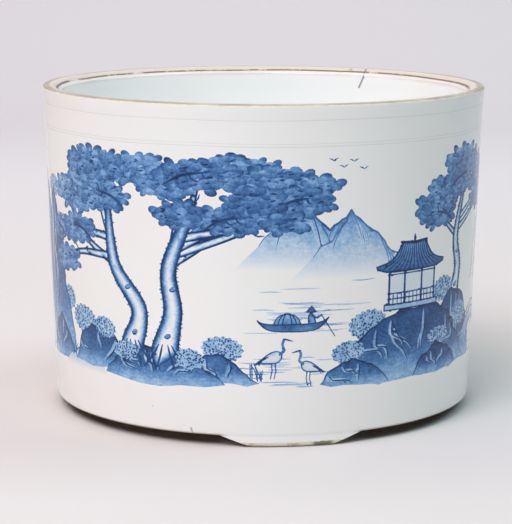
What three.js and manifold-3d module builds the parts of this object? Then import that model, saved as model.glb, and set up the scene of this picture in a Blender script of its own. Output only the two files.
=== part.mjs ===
// A round porcelain brush pot for a writing table, in millimetres, +Z up.
//
// The potter throws the wall as one heavy cylinder that widens a little towards the lip, lutes a thick
// disc into its lower end as the floor, and sets three low bracket feet under the lower edge. The origin
// is on the pot's axis, level with the undersides of the feet. The front of the pot faces -Y.
import * as THREE from 'three';
import { mergeVertices } from 'three/addons/utils/BufferGeometryUtils.js';
import Module from 'manifold-3d';

// Driving dimensions of the wall
const overallHeight = 141;
const rimDiameter = 194;
const lipThickness = 8.5;
const outerLipRounding = 1.2;
const innerLipSlopeWidth = 5;
const innerLipSlopeDepth = 3.2;
const shoulderDiameter = 191.7;
const shoulderBelowRim = 22;
const waistDiameter = 187.2;
const waistHeight = 45.6;
const lowerEdgeDiameter = 184;
const lowerWallThickness = 9;

// Driving dimensions of the floor disc
const floorThickness = 9;
const floorCornerRadius = 6;
const underRecessDiameter = 72;
const underRecessDepth = 1.5;

// Driving dimensions of the feet, which stand evenly round the edge, counted towards the right
const footNames = ['front_foot', 'right_rear_foot', 'left_rear_foot'];
const footHeight = 4.6;
const footLengthAtFloor = 32.5;
const footLengthAtWall = 59;
const footThickness = 12;
const footEdgeBevel = 1;
const frontFootTurn = 7.5;

// Facets: flats round the pot, and steps along the wall's outline, in each rounded corner and down the
// lip's slope
const flatsRound = 96;
const outlineSteps = 9;
const cornerSteps = 3;
const slopeSteps = 4;

const rimRadius = rimDiameter / 2;
const lipInnerRadius = rimRadius - lipThickness;
const lowerEdgeRadius = lowerEdgeDiameter / 2;
const floorRadius = lowerEdgeRadius - lowerWallThickness;
const floorTop = footHeight + floorThickness;
const seatTop = floorTop + floorCornerRadius;

const porcelain = { roughness: 0.18, metalness: 0 };
const biscuit = { roughness: 0.75, metalness: 0 };

const wasm = await Module();
wasm.setup();

// Points on a quarter circle about (radius, height), from one angle to another, in degrees
function cornerArc(radius, height, cornerRadius, startAngle, endAngle) {
  const points = [];
  for (let step = 0; step <= cornerSteps; step += 1) {
    const angle = THREE.MathUtils.degToRad(THREE.MathUtils.lerp(startAngle, endAngle, step / cornerSteps));
    const across = radius + cornerRadius * Math.cos(angle);
    const up = height + cornerRadius * Math.sin(angle);
    points.push(new THREE.Vector2(across, up));
  }
  return points;
}

// A body turned about the pot's axis, from an outline of (radius, height) points
function turned(outline) {
  const geometry = new THREE.LatheGeometry(outline, flatsRound);
  geometry.rotateX(Math.PI / 2);
  return geometry;
}

function toSolid(geometry) {
  const bare = geometry.clone();
  bare.deleteAttribute('normal');
  bare.deleteAttribute('uv');
  const merged = mergeVertices(bare, 1e-4);
  return new wasm.Manifold(new wasm.Mesh({
    numProp: 3,
    vertProperties: merged.attributes.position.array,
    triVerts: new Uint32Array(merged.index.array),
  }));
}

function toGeometry(solid) {
  const mesh = solid.getMesh();
  const geometry = new THREE.BufferGeometry();
  geometry.setAttribute('position', new THREE.BufferAttribute(new Float32Array(mesh.vertProperties), 3));
  geometry.setIndex(new THREE.BufferAttribute(new Uint32Array(mesh.triVerts), 1));
  geometry.computeVertexNormals();
  return geometry;
}

function namedMesh(name, geometry, color, finish) {
  const mesh = new THREE.Mesh(geometry, new THREE.MeshStandardMaterial({ color, ...finish }));
  mesh.name = name;
  return mesh;
}

// The wall: up the outside along a smooth curve, over the lip's rounded outer edge and down its worn
// inner slope, down the inside's straight taper, and down the short upright seat of the floor disc
function wallGeometry() {
  const side = new THREE.SplineCurve([
    new THREE.Vector2(lowerEdgeRadius, footHeight),
    new THREE.Vector2(waistDiameter / 2, waistHeight),
    new THREE.Vector2(shoulderDiameter / 2, overallHeight - shoulderBelowRim),
    new THREE.Vector2(rimRadius, overallHeight - outerLipRounding),
  ]);
  const innerSlope = new THREE.SplineCurve([
    new THREE.Vector2(lipInnerRadius + innerLipSlopeWidth, overallHeight),
    new THREE.Vector2(
      lipInnerRadius + innerLipSlopeWidth * 0.8, overallHeight - innerLipSlopeDepth * 0.1,
    ),
    new THREE.Vector2(
      lipInnerRadius + innerLipSlopeWidth * 0.1, overallHeight - innerLipSlopeDepth * 0.8,
    ),
    new THREE.Vector2(lipInnerRadius, overallHeight - innerLipSlopeDepth),
  ]);
  const outline = [
    ...side.getPoints(outlineSteps).slice(0, -1),
    ...cornerArc(
      rimRadius - outerLipRounding, overallHeight - outerLipRounding, outerLipRounding, 0, 90,
    ),
    ...innerSlope.getPoints(slopeSteps),
    new THREE.Vector2(floorRadius, seatTop),
    new THREE.Vector2(floorRadius, footHeight),
    new THREE.Vector2(lowerEdgeRadius, footHeight),
  ];
  return turned(outline);
}

// The floor disc: flat on top with a hollow corner sweeping up to the wall, and a shallow round recess
// in the middle of its underside
function floorGeometry() {
  const recessRadius = underRecessDiameter / 2;
  const recessTop = footHeight + underRecessDepth;
  const corner = cornerArc(floorRadius - floorCornerRadius, seatTop, floorCornerRadius, 0, -90);
  const outline = [
    new THREE.Vector2(0, recessTop),
    new THREE.Vector2(recessRadius, recessTop),
    new THREE.Vector2(recessRadius, footHeight),
    new THREE.Vector2(floorRadius, footHeight),
    ...corner,
    new THREE.Vector2(0, floorTop),
  ];
  return turned(outline);
}

// The ring that all three feet are cut from, with its outer lower edge bevelled
function footRing() {
  const innerRadius = lowerEdgeRadius - footThickness;
  const outline = [
    new THREE.Vector2(innerRadius, 0),
    new THREE.Vector2(lowerEdgeRadius - footEdgeBevel, 0),
    new THREE.Vector2(lowerEdgeRadius, footEdgeBevel),
    new THREE.Vector2(lowerEdgeRadius, footHeight),
    new THREE.Vector2(innerRadius, footHeight),
    new THREE.Vector2(innerRadius, 0),
  ];
  return toSolid(turned(outline));
}

// The bracket outline seen from outside, longer at the wall than at the floor. Its sloping ends run on
// past the ring above and below, and it starts at the pot's axis and ends beyond the ring, so only the
// slopes cut.
function bracketCutter(turn) {
  const overrun = footHeight / 2;
  const slopePerHeight = (footLengthAtWall - footLengthAtFloor) / 2 / footHeight;
  const halfBelow = footLengthAtFloor / 2 - slopePerHeight * overrun;
  const halfAbove = footLengthAtWall / 2 + slopePerHeight * overrun;
  const face = new THREE.Shape([
    new THREE.Vector2(-halfBelow, -overrun),
    new THREE.Vector2(halfBelow, -overrun),
    new THREE.Vector2(halfAbove, footHeight + overrun),
    new THREE.Vector2(-halfAbove, footHeight + overrun),
  ]);
  const depth = lowerEdgeRadius + footThickness;
  const geometry = new THREE.ExtrudeGeometry(face, { depth, bevelEnabled: false });
  geometry.rotateX(Math.PI / 2);
  geometry.rotateZ(THREE.MathUtils.degToRad(turn));
  return toSolid(geometry);
}

const pot = new THREE.Group();
pot.add(namedMesh('wall', wallGeometry(), 0xe9e8e6, porcelain));
pot.add(namedMesh('floor_disc', floorGeometry(), 0xddd5c8, biscuit));

const ring = footRing();
footNames.forEach((name, index) => {
  const turn = frontFootTurn + index * 360 / footNames.length;
  const foot = ring.intersect(bracketCutter(turn));
  pot.add(namedMesh(name, toGeometry(foot), 0xe6e2da, porcelain));
});

export default pot;
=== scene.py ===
# A blue-and-white porcelain brush pot on a pale studio sweep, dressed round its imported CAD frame.
import math
import random

import bpy
import numpy as np
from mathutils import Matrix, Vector
from mathutils.geometry import delaunay_2d_cdt


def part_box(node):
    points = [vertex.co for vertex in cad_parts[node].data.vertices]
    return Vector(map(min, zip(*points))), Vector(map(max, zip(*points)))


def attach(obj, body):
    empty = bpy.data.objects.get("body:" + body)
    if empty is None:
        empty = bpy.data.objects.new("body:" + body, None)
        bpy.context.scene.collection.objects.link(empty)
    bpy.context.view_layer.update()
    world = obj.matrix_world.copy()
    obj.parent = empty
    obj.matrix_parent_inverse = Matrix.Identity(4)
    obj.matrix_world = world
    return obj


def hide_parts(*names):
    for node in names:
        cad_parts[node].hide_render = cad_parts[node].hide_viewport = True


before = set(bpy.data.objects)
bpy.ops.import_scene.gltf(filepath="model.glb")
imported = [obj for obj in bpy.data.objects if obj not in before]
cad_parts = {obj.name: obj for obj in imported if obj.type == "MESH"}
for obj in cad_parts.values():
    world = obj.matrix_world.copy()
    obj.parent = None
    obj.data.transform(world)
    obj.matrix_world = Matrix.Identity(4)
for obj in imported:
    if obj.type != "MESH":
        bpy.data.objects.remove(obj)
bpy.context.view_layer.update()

# The wall is one heavy cylinder thrown on the wheel. It widens a little towards a rounded lip, its lower
# edge is trimmed plain, and its inside runs straight down to the seat of the floor disc.
MM = 0.001
wall_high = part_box("wall")[1] / MM
disc_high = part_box("floor_disc")[1] / MM
RIM_RADIUS = wall_high.x
WALL_TOP = wall_high.z
WALL_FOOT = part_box("wall")[0].z / MM
SEAT_RADIUS = disc_high.x
SEAT_TOP = disc_high.z
LIP_THICKNESS = 8.5
OUTER_LIP_ROUNDING = 1.2
INNER_SLOPE_WIDTH = 5.0
INNER_SLOPE_DEPTH = 3.2
LIP_INNER_RADIUS = RIM_RADIUS - LIP_THICKNESS
LOWER_EDGE_RADIUS = 92.0
WALL_OUTLINE = [
    (LOWER_EDGE_RADIUS, WALL_FOOT),
    (93.6, WALL_FOOT + 41.0),
    (95.85, WALL_TOP - 22.0),
    (RIM_RADIUS, WALL_TOP - OUTER_LIP_ROUNDING),
]


def smooth_path(points, spacing=1.0, closed=False):
    """Points about every spacing millimetres along a smooth curve through the given ones."""
    given = [np.array(point, float) for point in points]
    if closed:
        given = [given[-1], *given, given[0], given[1]]
    else:
        given = [given[0], *given, given[-1]]
    path = []
    for before, start, end, after in zip(given, given[1:], given[2:], given[3:]):
        steps = max(1, math.ceil(np.linalg.norm(end - start) / spacing))
        leave, arrive = (end - before) / 2, (after - start) / 2
        for step in range(steps):
            t = step / steps
            path.append(
                (2 * t**3 - 3 * t**2 + 1) * start
                + (t**3 - 2 * t**2 + t) * leave
                + (3 * t**2 - 2 * t**3) * end
                + (t**3 - t**2) * arrive
            )
    if not closed:
        path.append(given[-2])
    return np.array(path)


OUTER_CURVE = smooth_path(WALL_OUTLINE, spacing=0.5)


def outer_radius(height):
    """The wall's outside radius at a height, or at an array of heights."""
    return np.interp(height, OUTER_CURVE[:, 1], OUTER_CURVE[:, 0])


# The landscape is brushed in cobalt on the raw clay, under the glaze: washes first, then darker ones
# over them, then outlines and dots with the tip of the brush. Each mark is kept here in the order it is
# laid down, on the wall unrolled into a flat sheet: millimetres to the right of the front, and up.
UNROLLED_RADIUS = 94.5
HALF_ROUND = math.pi * UNROLLED_RADIUS
SEAM_MARGIN = 2.0
PICTURE_LOW = 23.0
PICTURE_HIGH = 122.0
SHORTEST_RUN = 0.05

# Tones run from 0, bare glaze, to 1. Widths are in millimetres.
DARKEST = 0.97
LINE_TONE = 0.95
EVEN_ENDS = (1.0, 1.0)
BLUNT_ENDS = (0.9, 0.9)


class Painting:
    """The brush marks on the unrolled wall, from the first to the last."""

    def __init__(self):
        self.marks = []

    def wash(self, outline, tone, rim=0.0, rim_width=1.0, dotted=0.0):
        """A filled patch. Its tone is one number, or (across, up, tone) stops to run between; rim is
        pigment added, or lifted off, along its edge, and dotted breaks it into round dots."""
        path = self.kept_in(outline)
        if len(path) > 2:
            self.marks.append(("wash", path, tone, (rim, rim_width, dotted)))

    def stroke(self, path, width, tone=LINE_TONE, ends=(0.35, 0.15)):
        """A line of the brush tip, widest in its middle; ends are its widths there, as shares."""
        path = self.kept_in(path)
        if len(path) > 1:
            self.marks.append(("stroke", path, tone, (width, ends)))

    def ring(self, outline, width, tone=LINE_TONE):
        """An even line all the way round an outline."""
        self.stroke([*outline, outline[0]], width, tone, ends=EVEN_ENDS)

    def outlined(self, outline, tone, width, line_tone=LINE_TONE, rim=0.0, rim_width=1.0):
        """A wash with a ring round it."""
        self.wash(outline, tone, rim, rim_width)
        self.ring(outline, width, line_tone)

    def kept_in(self, path):
        """The path held inside the picture, without repeated points."""
        path = np.array(path, float)
        path[:, 0] = path[:, 0].clip(SEAM_MARGIN - HALF_ROUND, HALF_ROUND - SEAM_MARGIN)
        path[:, 1] = path[:, 1].clip(PICTURE_LOW, PICTURE_HIGH)
        moved = np.linalg.norm(np.diff(path, axis=0), axis=1) > SHORTEST_RUN
        return path[np.concatenate(([True], moved))]


def placed(shape, at, size, turn=0.0):
    """A shape drawn in shares of its size, moved to its place on the wall."""
    shape = np.array(shape, float) * size
    turned = shape @ np.array(((math.cos(turn), math.sin(turn)), (-math.sin(turn), math.cos(turn))))
    return turned + at


def oval(at, width, height, turn=0.0, sides=12):
    angles = np.linspace(0, math.tau, sides, endpoint=False)
    circle = np.stack((np.cos(angles), np.sin(angles)), 1) / 2
    return placed(circle, at, (width, height), turn)


def roughened(points, amount, chance):
    """Breaks each run of a line near its middle, a little to one side, and then each half so again."""
    path = [np.array(point, float) for point in points]
    for _ in range(2):
        broken = []
        for start, end in zip(path, path[1:]):
            run = end - start
            side = np.array((-run[1], run[0]))
            broken.append(start)
            broken.append(start + run * chance.uniform(0.35, 0.65) + side * amount * chance.uniform(-1, 1))
        path = [*broken, path[-1]]
    return np.array(path)


def ribbon(path, widths):
    """The outline of a band along a path, with its widths given at even places from start to end."""
    places = np.linspace(0, 1, len(path))
    half = np.interp(places, np.linspace(0, 1, len(widths)), widths)[:, None] / 2
    run = np.gradient(path, axis=0)
    side = np.stack((-run[:, 1], run[:, 0]), 1) / np.linalg.norm(run, axis=1, keepdims=True)
    return np.concatenate((path + side * half, (path - side * half)[::-1]))


# The growing things: leaves are oval dabs laid in rows over a soft ground, trunks are left pale down
# the middle between two shaded sides, and bushes and reeds are touches of the brush tip.
LEAF_SIZE = (5.0, 3.2)
LEAF_STEP = (3.5, 2.2)
LEAF_SIDES = 10
KNOT_SIZE = (3.0, 1.9)
KNOT_TURN = 0.4


def foliage(painting, at, size, seed, tone=0.6):
    """One cushion of leaves: dabs that point outwards round its edge, then rows over its middle, then
    short dark touches between them."""
    chance = random.Random(seed)
    at, half = np.array(at), np.array(size) / 2
    painting.wash(oval(at, *(half * 1.8), sides=22), tone)
    around = round(half.sum() / 1.5)
    for index in range(around):
        turn = (index + chance.uniform(0.1, 0.9)) * math.tau / around
        way = np.array((math.cos(turn), math.sin(turn)))
        spot = at + way * half * chance.uniform(0.82, 1.06)
        leaf = np.array(LEAF_SIZE) * chance.uniform(0.85, 1.2)
        own = tone + chance.uniform(-0.08, 0.08)
        shade = ((*(spot - way * leaf / 2), own - 0.14), (*(spot + way * leaf / 2), own + 0.14))
        lean = 0.5 * math.sin(2 * turn) + chance.uniform(-0.2, 0.2)
        painting.wash(oval(spot, *leaf, lean, LEAF_SIDES), shade, rim=0.1, rim_width=0.7)
    rows = max(2, round(size[1] * 0.84 / LEAF_STEP[1]))
    for row in range(rows):
        up = 1 - 2 * (row + 0.5) / rows
        reach = half[0] * 0.84 * math.sqrt(1 - up * up * 0.94)
        steps = max(2, round(2 * reach / LEAF_STEP[0]))
        order = list(range(steps))
        chance.shuffle(order)
        for step in order:
            across = (2 * (step + 0.5) / steps - 1) * reach + chance.uniform(-1.2, 1.2)
            spot = at + (across, up * half[1] * 0.84 + chance.uniform(-0.8, 0.8))
            leaf = np.array(LEAF_SIZE) * (chance.uniform(0.75, 1.2), chance.uniform(0.75, 1.1))
            own = tone + chance.uniform(-0.12, 0.08)
            shade = ((spot[0], spot[1] + leaf[1] / 2, own - 0.1), (spot[0], spot[1] - leaf[1] / 2, own + 0.1))
            lean = chance.uniform(-0.4, 0.4)
            painting.wash(oval(spot, *leaf, lean, LEAF_SIDES), shade, rim=0.06, rim_width=0.8)
    for _ in range(round(size[0] * size[1] / 20)):
        turn, reach = chance.uniform(0, math.tau), 0.86 * math.sqrt(chance.random())
        spot = at + half * (reach * math.cos(turn), reach * math.sin(turn))
        tip = spot + (chance.uniform(1.2, 2.6), chance.uniform(-0.5, 0.7))
        darker = tone + chance.uniform(0.12, 0.34)
        painting.stroke([spot, tip], chance.uniform(0.6, 0.9), darker, ends=(0.4, 0.3))


def limb(painting, points, widths, knots=(), bristled=False):
    """A trunk or branch, dark down each side and pale down the middle, with oval knots where twigs broke
    off. Old trunks are bristled all along with short touches of the brush."""
    path = smooth_path(points, 1.2)
    outline = ribbon(path, widths)
    painting.wash(outline, 0.02, rim=0.94, rim_width=0.42 * float(np.median(widths)))
    side = len(path)
    painting.stroke(outline[:side], 0.7, DARKEST, ends=(0.7, 0.5))
    painting.stroke(outline[side:], 0.7, DARKEST, ends=(0.5, 0.7))
    if bristled:
        chance = random.Random(points[0][0])
        for spot, middle in zip(outline, np.concatenate((path, path[::-1]))):
            away = (spot - middle) / np.linalg.norm(spot - middle)
            start = spot - away * 0.8 + (0, chance.uniform(-0.6, 0.6))
            slant = (chance.uniform(-0.4, 0.4), chance.uniform(-1.0, 0.6))
            tip = spot + away * chance.uniform(0.2, 0.9) + slant
            painting.stroke([start, tip], chance.uniform(0.4, 0.6), 0.84, ends=(1.0, 0.3))
    for knot in knots:
        edge = oval(knot, *KNOT_SIZE, KNOT_TURN)
        painting.wash(edge, 0.3, rim=0.4, rim_width=0.8)
        painting.stroke(edge[5:12], 0.45, DARKEST)
        painting.stroke([knot + (0.5, 0.2), knot - (0.6, 0.1)], 0.6, 0.9)


def twigs(painting, start, end, seed, count=3):
    """A few bent twigs off a branch, running on towards its end."""
    chance = random.Random(seed)
    for index in range(count):
        side = 1 if index % 2 else -1
        spot = start + (end - start) * (index + 1) / (count + 1)
        way = (end - start) * chance.uniform(0.22, 0.34)
        across = np.array((-way[1], way[0])) * side * chance.uniform(0.4, 0.9)
        bend = [spot, spot + way * 0.4 + across, spot + way + across * 1.2]
        painting.stroke(smooth_path(bend, 1.2), 0.6, 0.9)


def broadleaf(painting, root, height, lean, crown, seed, tone=0.6, thick=0.13):
    """A broadleaf tree. Its crown is a list of (across, up, width, height) cushions in millimetres from
    the top of the trunk; the first half of them are behind the branches and the rest in front."""
    chance = random.Random(seed)
    root = np.array(root, float)
    top = root + (lean * height, height)
    fork = root + (lean * height * 0.45 - 0.06 * height, height * 0.6)
    spots = [(top + cushion[:2], cushion[2:]) for cushion in crown]
    behind = len(spots) // 2
    for spot, size in spots[:behind]:
        foliage(painting, spot, size, chance.random(), tone - 0.05)
    knee = root + (0.06 * height, height * 0.3)
    width = thick * height
    for index, (spot, size) in enumerate(spots[behind:]):
        start = fork + (top - fork) * (index / len(spots))
        elbow = start + (spot - start) * (0.55, 0.4) + (0, 0.03 * height)
        tip = spot + (0, size[1] * 0.1)
        limb(painting, [start, elbow, tip], (0.42 * width, 0.3 * width, 0.14 * width))
        twigs(painting, elbow, tip, chance.random())
    flare = [root + (0.02 * height, -0.02 * height), root + (0, 0.05 * height), knee, fork, top]
    knots = [(knee + fork) / 2 + (0.1 * width, 0), root + (0.16 * width, height * 0.14)]
    widths = [share * width for share in (1.7, 1.0, 0.85, 0.65, 0.36)]
    limb(painting, flare, widths, knots, bristled=True)
    for side in (-1.2, -0.5, 0.5, 1.2):
        toe = root + (side * width, -0.07 * height)
        start = root + (side * 0.3 * width, 0.08 * height)
        elbow = (start + toe) / 2 + (side * -0.06 * width, 0)
        painting.stroke(smooth_path([start, elbow, toe], 1.0), 0.9, 0.9, ends=(0.4, 0.5))
    for index, (spot, size) in enumerate(spots[behind:]):
        foliage(painting, spot, size, chance.random(), tone)
        if index % 2 == 0:
            side = 1 if spot[0] < fork[0] else -1
            bends = ((0.42 * side, -0.3), (0.2 * side, 0.0), (-0.1 * side, 0.12))
            branch = [spot + np.array(bend) * size for bend in bends]
            painting.stroke(smooth_path(branch, 1.2), 1.1, 0.92)
            twigs(painting, branch[1], branch[2], chance.random())


def bush(painting, at, size, seed, tone=0.34):
    """A low bush: a pale scalloped wash stippled all over with small dark dots."""
    chance = random.Random(seed)
    bumps = max(7, round((size[0] + size[1]) * 0.55))
    turn = chance.uniform(0, math.tau)
    angles = np.linspace(0, math.tau, bumps * 4, endpoint=False)
    reach = 0.84 + 0.16 * np.abs(np.sin(angles * bumps / 2 + turn))
    reach += 0.08 * np.sin(2 * angles + turn)
    outline = np.stack((np.cos(angles) * reach, np.sin(angles) * reach), 1) / 2
    painting.wash(placed(outline, at, size), tone, dotted=1.0)


def reeds(painting, at, height, seed, blades=7):
    chance = random.Random(seed)
    for _ in range(blades):
        lean = chance.uniform(-0.7, 0.7)
        tall = height * chance.uniform(0.55, 1.0)
        start = np.array(at) + (chance.uniform(-0.3, 0.3) * height, 0)
        blade = [start, start + (lean * 0.25 * tall, 0.6 * tall), start + (lean * tall * 0.75, tall)]
        painting.stroke(smooth_path(blade, 1.2), 0.42, 0.8)


def willow(painting, root, height, seed, strands=15, side=1):
    """A willow: a bent trunk, and long strands of narrow leaves falling from its crown."""
    chance = random.Random(seed)
    root = np.array(root, float)
    crown = root + (side * 0.14 * height, 0.74 * height)
    knee = root + (-side * 0.07 * height, 0.34 * height)
    widths = (0.12 * height, 0.075 * height, 0.035 * height)
    limb(painting, [root, knee, crown], widths, [(root + knee) / 2 + (-side * 0.01 * height, 0)])
    for strand in range(strands):
        spread = -1 + 2 * strand / (strands - 1)
        start = crown + (spread * 0.2 * height, 0.13 * height * (1 - spread**2))
        reach = spread * height * chance.uniform(0.3, 0.42)
        fall = height * chance.uniform(0.35, 0.66)
        path = smooth_path([crown, start, start + (reach * 0.7, -0.15 * fall), start + (reach, -fall)], 2.4)
        painting.stroke(path, 0.4, 0.8, ends=(0.9, 0.3))
        for spot in path[3:]:
            lean = chance.choice((-1, 1)) * chance.uniform(0.6, 1.1)
            painting.stroke([spot, spot + (lean, -1.7)], 0.75, chance.uniform(0.5, 0.85), ends=(0.5, 0.2))


# The land and the water: far mountains thin out into mist below their ridges, near rocks are dark
# washes with pale veins left between them, and the lake is a few level lines.
def mountain(painting, ridge, foot, tone, seed, folds=8):
    """A far mountain, with folds running down from its ridge."""
    chance = random.Random(seed)
    line = roughened(ridge, 0.13, chance)
    middle, peak = line[:, 0].mean(), line[:, 1].max()
    first, last = line[0], line[-1]
    outline = [*line, last + (last[1] - foot, foot - last[1]), first + (foot - first[1], foot - first[1])]
    stops = ((middle, peak, tone + 0.14), (middle, (peak + foot) / 2, tone * 0.8), (middle, foot, 0.0))
    painting.wash(outline, stops)
    painting.stroke(line, 0.7, tone + 0.3, ends=(0.3, 0.3))
    for _ in range(folds):
        place = chance.randrange(2, len(line) - 2)
        start, rise = line[place], line[place + 1] - line[place - 1]
        slope = 1 if rise[1] < 0 else -1
        fall = chance.uniform(0.35, 0.8) * (start[1] - foot)
        lean = slope * fall * min(0.4, 0.5 * abs(rise[0] / (rise[1] + 0.01)))
        knee = start + (0.6 * lean, -0.5 * fall)
        path = smooth_path([start - (0, 1), knee, start + (lean, -fall)], 1.5)
        painting.wash(ribbon(path, (0.2, 0.16 * fall, 0.1)), ((*start, tone + 0.16), (*path[-1], 0.05)))
        painting.stroke(path, 0.55, tone + chance.uniform(0.0, 0.2), ends=(0.9, 0.1))


def crag(painting, crest, seed, dark=0.86, pale=0.3, veins=4):
    """A near rock. Its crest is given from left to right; it is darkest there and thins out at its foot."""
    chance = random.Random(seed)
    line = roughened(crest, 0.12, chance)
    low, high = line[:, 1].min(), line[:, 1].max()
    middle, half = (line[0] + line[-1]) / 2, (line[-1] - line[0]) / 2
    sag = 0.06 * np.linalg.norm(half)
    outline = list(line)
    for share in (0.7, 0.35, 0.0, -0.35, -0.7):
        outline.append(middle + half * share - (0, sag * chance.uniform(0.4, 1.6)))
    stops = ((0, high, dark), (0, low + 0.4 * (high - low), 0.85 * dark), (0, low - sag, pale))
    painting.wash(outline, stops, rim=0.08, rim_width=1.5)
    top = line[line[:, 1] > (low + high) / 2]
    for _ in range(veins):
        start = top[chance.randrange(len(top))] - (0, 1.5)
        inward = (middle[0] - start[0]) * chance.uniform(0.2, 0.8)
        fall = (start[1] - low) * chance.uniform(0.4, 0.8)
        elbow = start + (inward * chance.uniform(-0.1, 0.4), -fall * 0.5)
        knee = start + (inward * 0.9, -fall * chance.uniform(0.5, 0.8))
        vein = smooth_path([start, elbow, knee, start + (inward * 1.2, -fall)], 1.4)
        painting.wash(ribbon(vein, (0.2, 1.7, 1.3, 0.2)), pale - 0.08, rim=0.2, rim_width=0.6)
        painting.stroke(vein + (0.9, -0.3), 0.5, ends=(0.5, 0.2))
    painting.stroke(line, 0.6, DARKEST, ends=(0.3, 0.3))


def ripples(painting, left, right, low, high, lines, seed, tone=0.4):
    """Level lines of water, each with a slow swell."""
    chance = random.Random(seed)
    for _ in range(lines):
        length = chance.uniform(0.12, 0.38) * (right - left)
        start = chance.uniform(left, right - length)
        level = chance.uniform(low, high)
        middle = level + chance.uniform(-0.3, 0.3)
        line = [(start, level), (start + length / 2, middle), (start + length, level)]
        painting.stroke(smooth_path(line, 3.0), 0.34, tone + chance.uniform(-0.12, 0.1), ends=(0.2, 0.2))


def shore(painting, crest, foot, tone, seed):
    """A low bank: dark along its crest and fading out into the white of the clay below."""
    line = smooth_path(crest, 1.5)
    line = line + np.array([(0, 0.5 * math.sin(0.9 * spot[0] + seed)) for spot in line])
    middle, peak = line[:, 0].mean(), line[:, 1].max()
    outline = [*line, (line[-1][0] + 4, foot), (line[0][0] - 4, foot)]
    painting.wash(outline, ((middle, peak, tone), (middle, foot, 0.0)))
    painting.stroke(line, 0.5, tone + 0.3, ends=(0.2, 0.2))


# Buildings, bridges and boats, drawn in shares of their own width or height.
def tiled_roof(painting, at, width, rise, turned_up=0.1):
    """A tiled roof over eaves of a given width, its corners turned up and its ridge capped."""
    slope = smooth_path([(0.17, 1.0), (0.3, 0.42), (0.5, 0.12 + turned_up)], 0.12)
    eaves = smooth_path([(0.5, 0.12 + turned_up), (0.38, 0.0), (-0.38, 0.0), (-0.5, 0.12 + turned_up)], 0.16)
    size = (width, rise)
    right, left = placed(slope, at, size), placed(slope * (-1, 1), at, size)
    under = placed(eaves, at, size)
    roof = np.concatenate((left, under[::-1][1:-1], right[::-1]))
    painting.wash(roof, ((at[0], at[1] + rise, 0.48), (at[0], at[1], 0.74)), rim=0.1)
    rows = max(5, round(width / 3.4))
    for row in range(rows + 1):
        share = -1 + 2 * row / rows
        tile = [(0.16 * share, 0.96), (0.23 * share, 0.45), (0.41 * share, 0.03 + turned_up * share**4)]
        painting.stroke(placed(smooth_path(tile, 0.2), at, size), 0.42, DARKEST, ends=(0.8, 0.8))
    for edge in (left, right):
        painting.stroke(edge, 0.75, DARKEST, ends=(1.1, 0.5))
    painting.stroke(under, 0.6, DARKEST, ends=(0.6, 0.6))
    cap = [(-0.19, 1.06), (0.0, 1.0), (0.19, 1.06)]
    painting.stroke(placed(cap, at, size), 1.1, DARKEST, ends=BLUNT_ENDS)


def pavilion(painting, at, width):
    """An open waterside pavilion: a roof on four posts above a low railing."""
    size = (width, width)
    back = placed([(-0.42, 0), (0.42, 0), (0.42, 0.44), (-0.42, 0.44)], at, size)
    painting.wash(back, 0.1)
    for share in (-0.4, -0.15, 0.15, 0.4):
        painting.stroke(placed([(share, 0), (share, 0.44)], at, size), 0.95, 0.93, ends=BLUNT_ENDS)
    for level in (0.0, 0.07, 0.14, 0.38):
        line = [(-0.42, level), (0.0, level), (0.42, level)]
        painting.stroke(placed(line, at, size), 0.45, 0.93, ends=EVEN_ENDS)
    for step in range(13):
        share = -0.4 + 0.8 * step / 12
        painting.stroke(placed([(share, 0), (share, 0.14)], at, size), 0.32, 0.88, ends=EVEN_ENDS)
    deck = placed([(-0.47, 0), (0.47, 0), (0.47, -0.07), (-0.47, -0.07)], at, size)
    painting.outlined(deck, 0.3, 0.5)
    tiled_roof(painting, (at[0], at[1] + 0.42 * width), 1.2 * width, 0.34 * width)
    tip = at[1] + 0.77 * width
    painting.stroke([(at[0], tip), (at[0], tip + 0.09 * width)], 1.1, DARKEST, ends=(1.0, 0.5))


def cottage(painting, at, width):
    """A small house on the shore: a thatched roof over a plain wall with one window."""
    size = (width, width)
    wall = placed([(-0.4, 0), (0.4, 0), (0.4, 0.42), (-0.4, 0.42)], at, size)
    painting.outlined(wall, 0.1, 0.45)
    window = placed([(0.05, 0.12), (0.27, 0.12), (0.27, 0.32), (0.05, 0.32)], at, size)
    painting.outlined(window, 0.55, 0.32)
    roof = placed([(-0.56, 0.36), (-0.3, 0.78), (0.28, 0.8), (0.56, 0.36)], at, size)
    stops = ((at[0], at[1] + 0.8 * width, 0.45), (at[0], at[1] + 0.36 * width, 0.72))
    painting.outlined(roof, stops, 0.5)
    for share in (-0.6, -0.3, 0.0, 0.3, 0.6):
        thatch = [(0.3 * share, 0.74), (0.5 * share, 0.4)]
        painting.stroke(placed(thatch, at, size), 0.36, 0.92, ends=(0.9, 0.4))


def pagoda(painting, at, height, floors=5):
    """A far pagoda, each floor narrower than the one below."""
    step = height / (floors + 0.7)
    for floor in range(floors):
        width = height * (0.3 - 0.035 * floor)
        level = at[1] + floor * step
        half = width * 0.36
        wall = [(at[0] - half, level), (at[0] + half, level), (at[0] + half * 0.94, level + 0.66 * step)]
        wall.append((at[0] - half * 0.94, level + 0.66 * step))
        painting.outlined(wall, 0.14, 0.36, 0.9)
        painting.stroke([(at[0], level), (at[0], level + 0.4 * step)], 0.7, 0.85, ends=BLUNT_ENDS)
        eaves = [(-0.62, 0.78), (-0.36, 0.58), (0.36, 0.58), (0.62, 0.78), (0.3, 1.02), (-0.3, 1.02)]
        roof = placed(eaves, (at[0], level), (width, step))
        painting.outlined(roof, 0.68, 0.4)
    top = at[1] + floors * step
    painting.stroke([(at[0], top), (at[0], top + 0.6 * step)], 0.8, DARKEST, ends=(1.0, 0.3))


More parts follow.
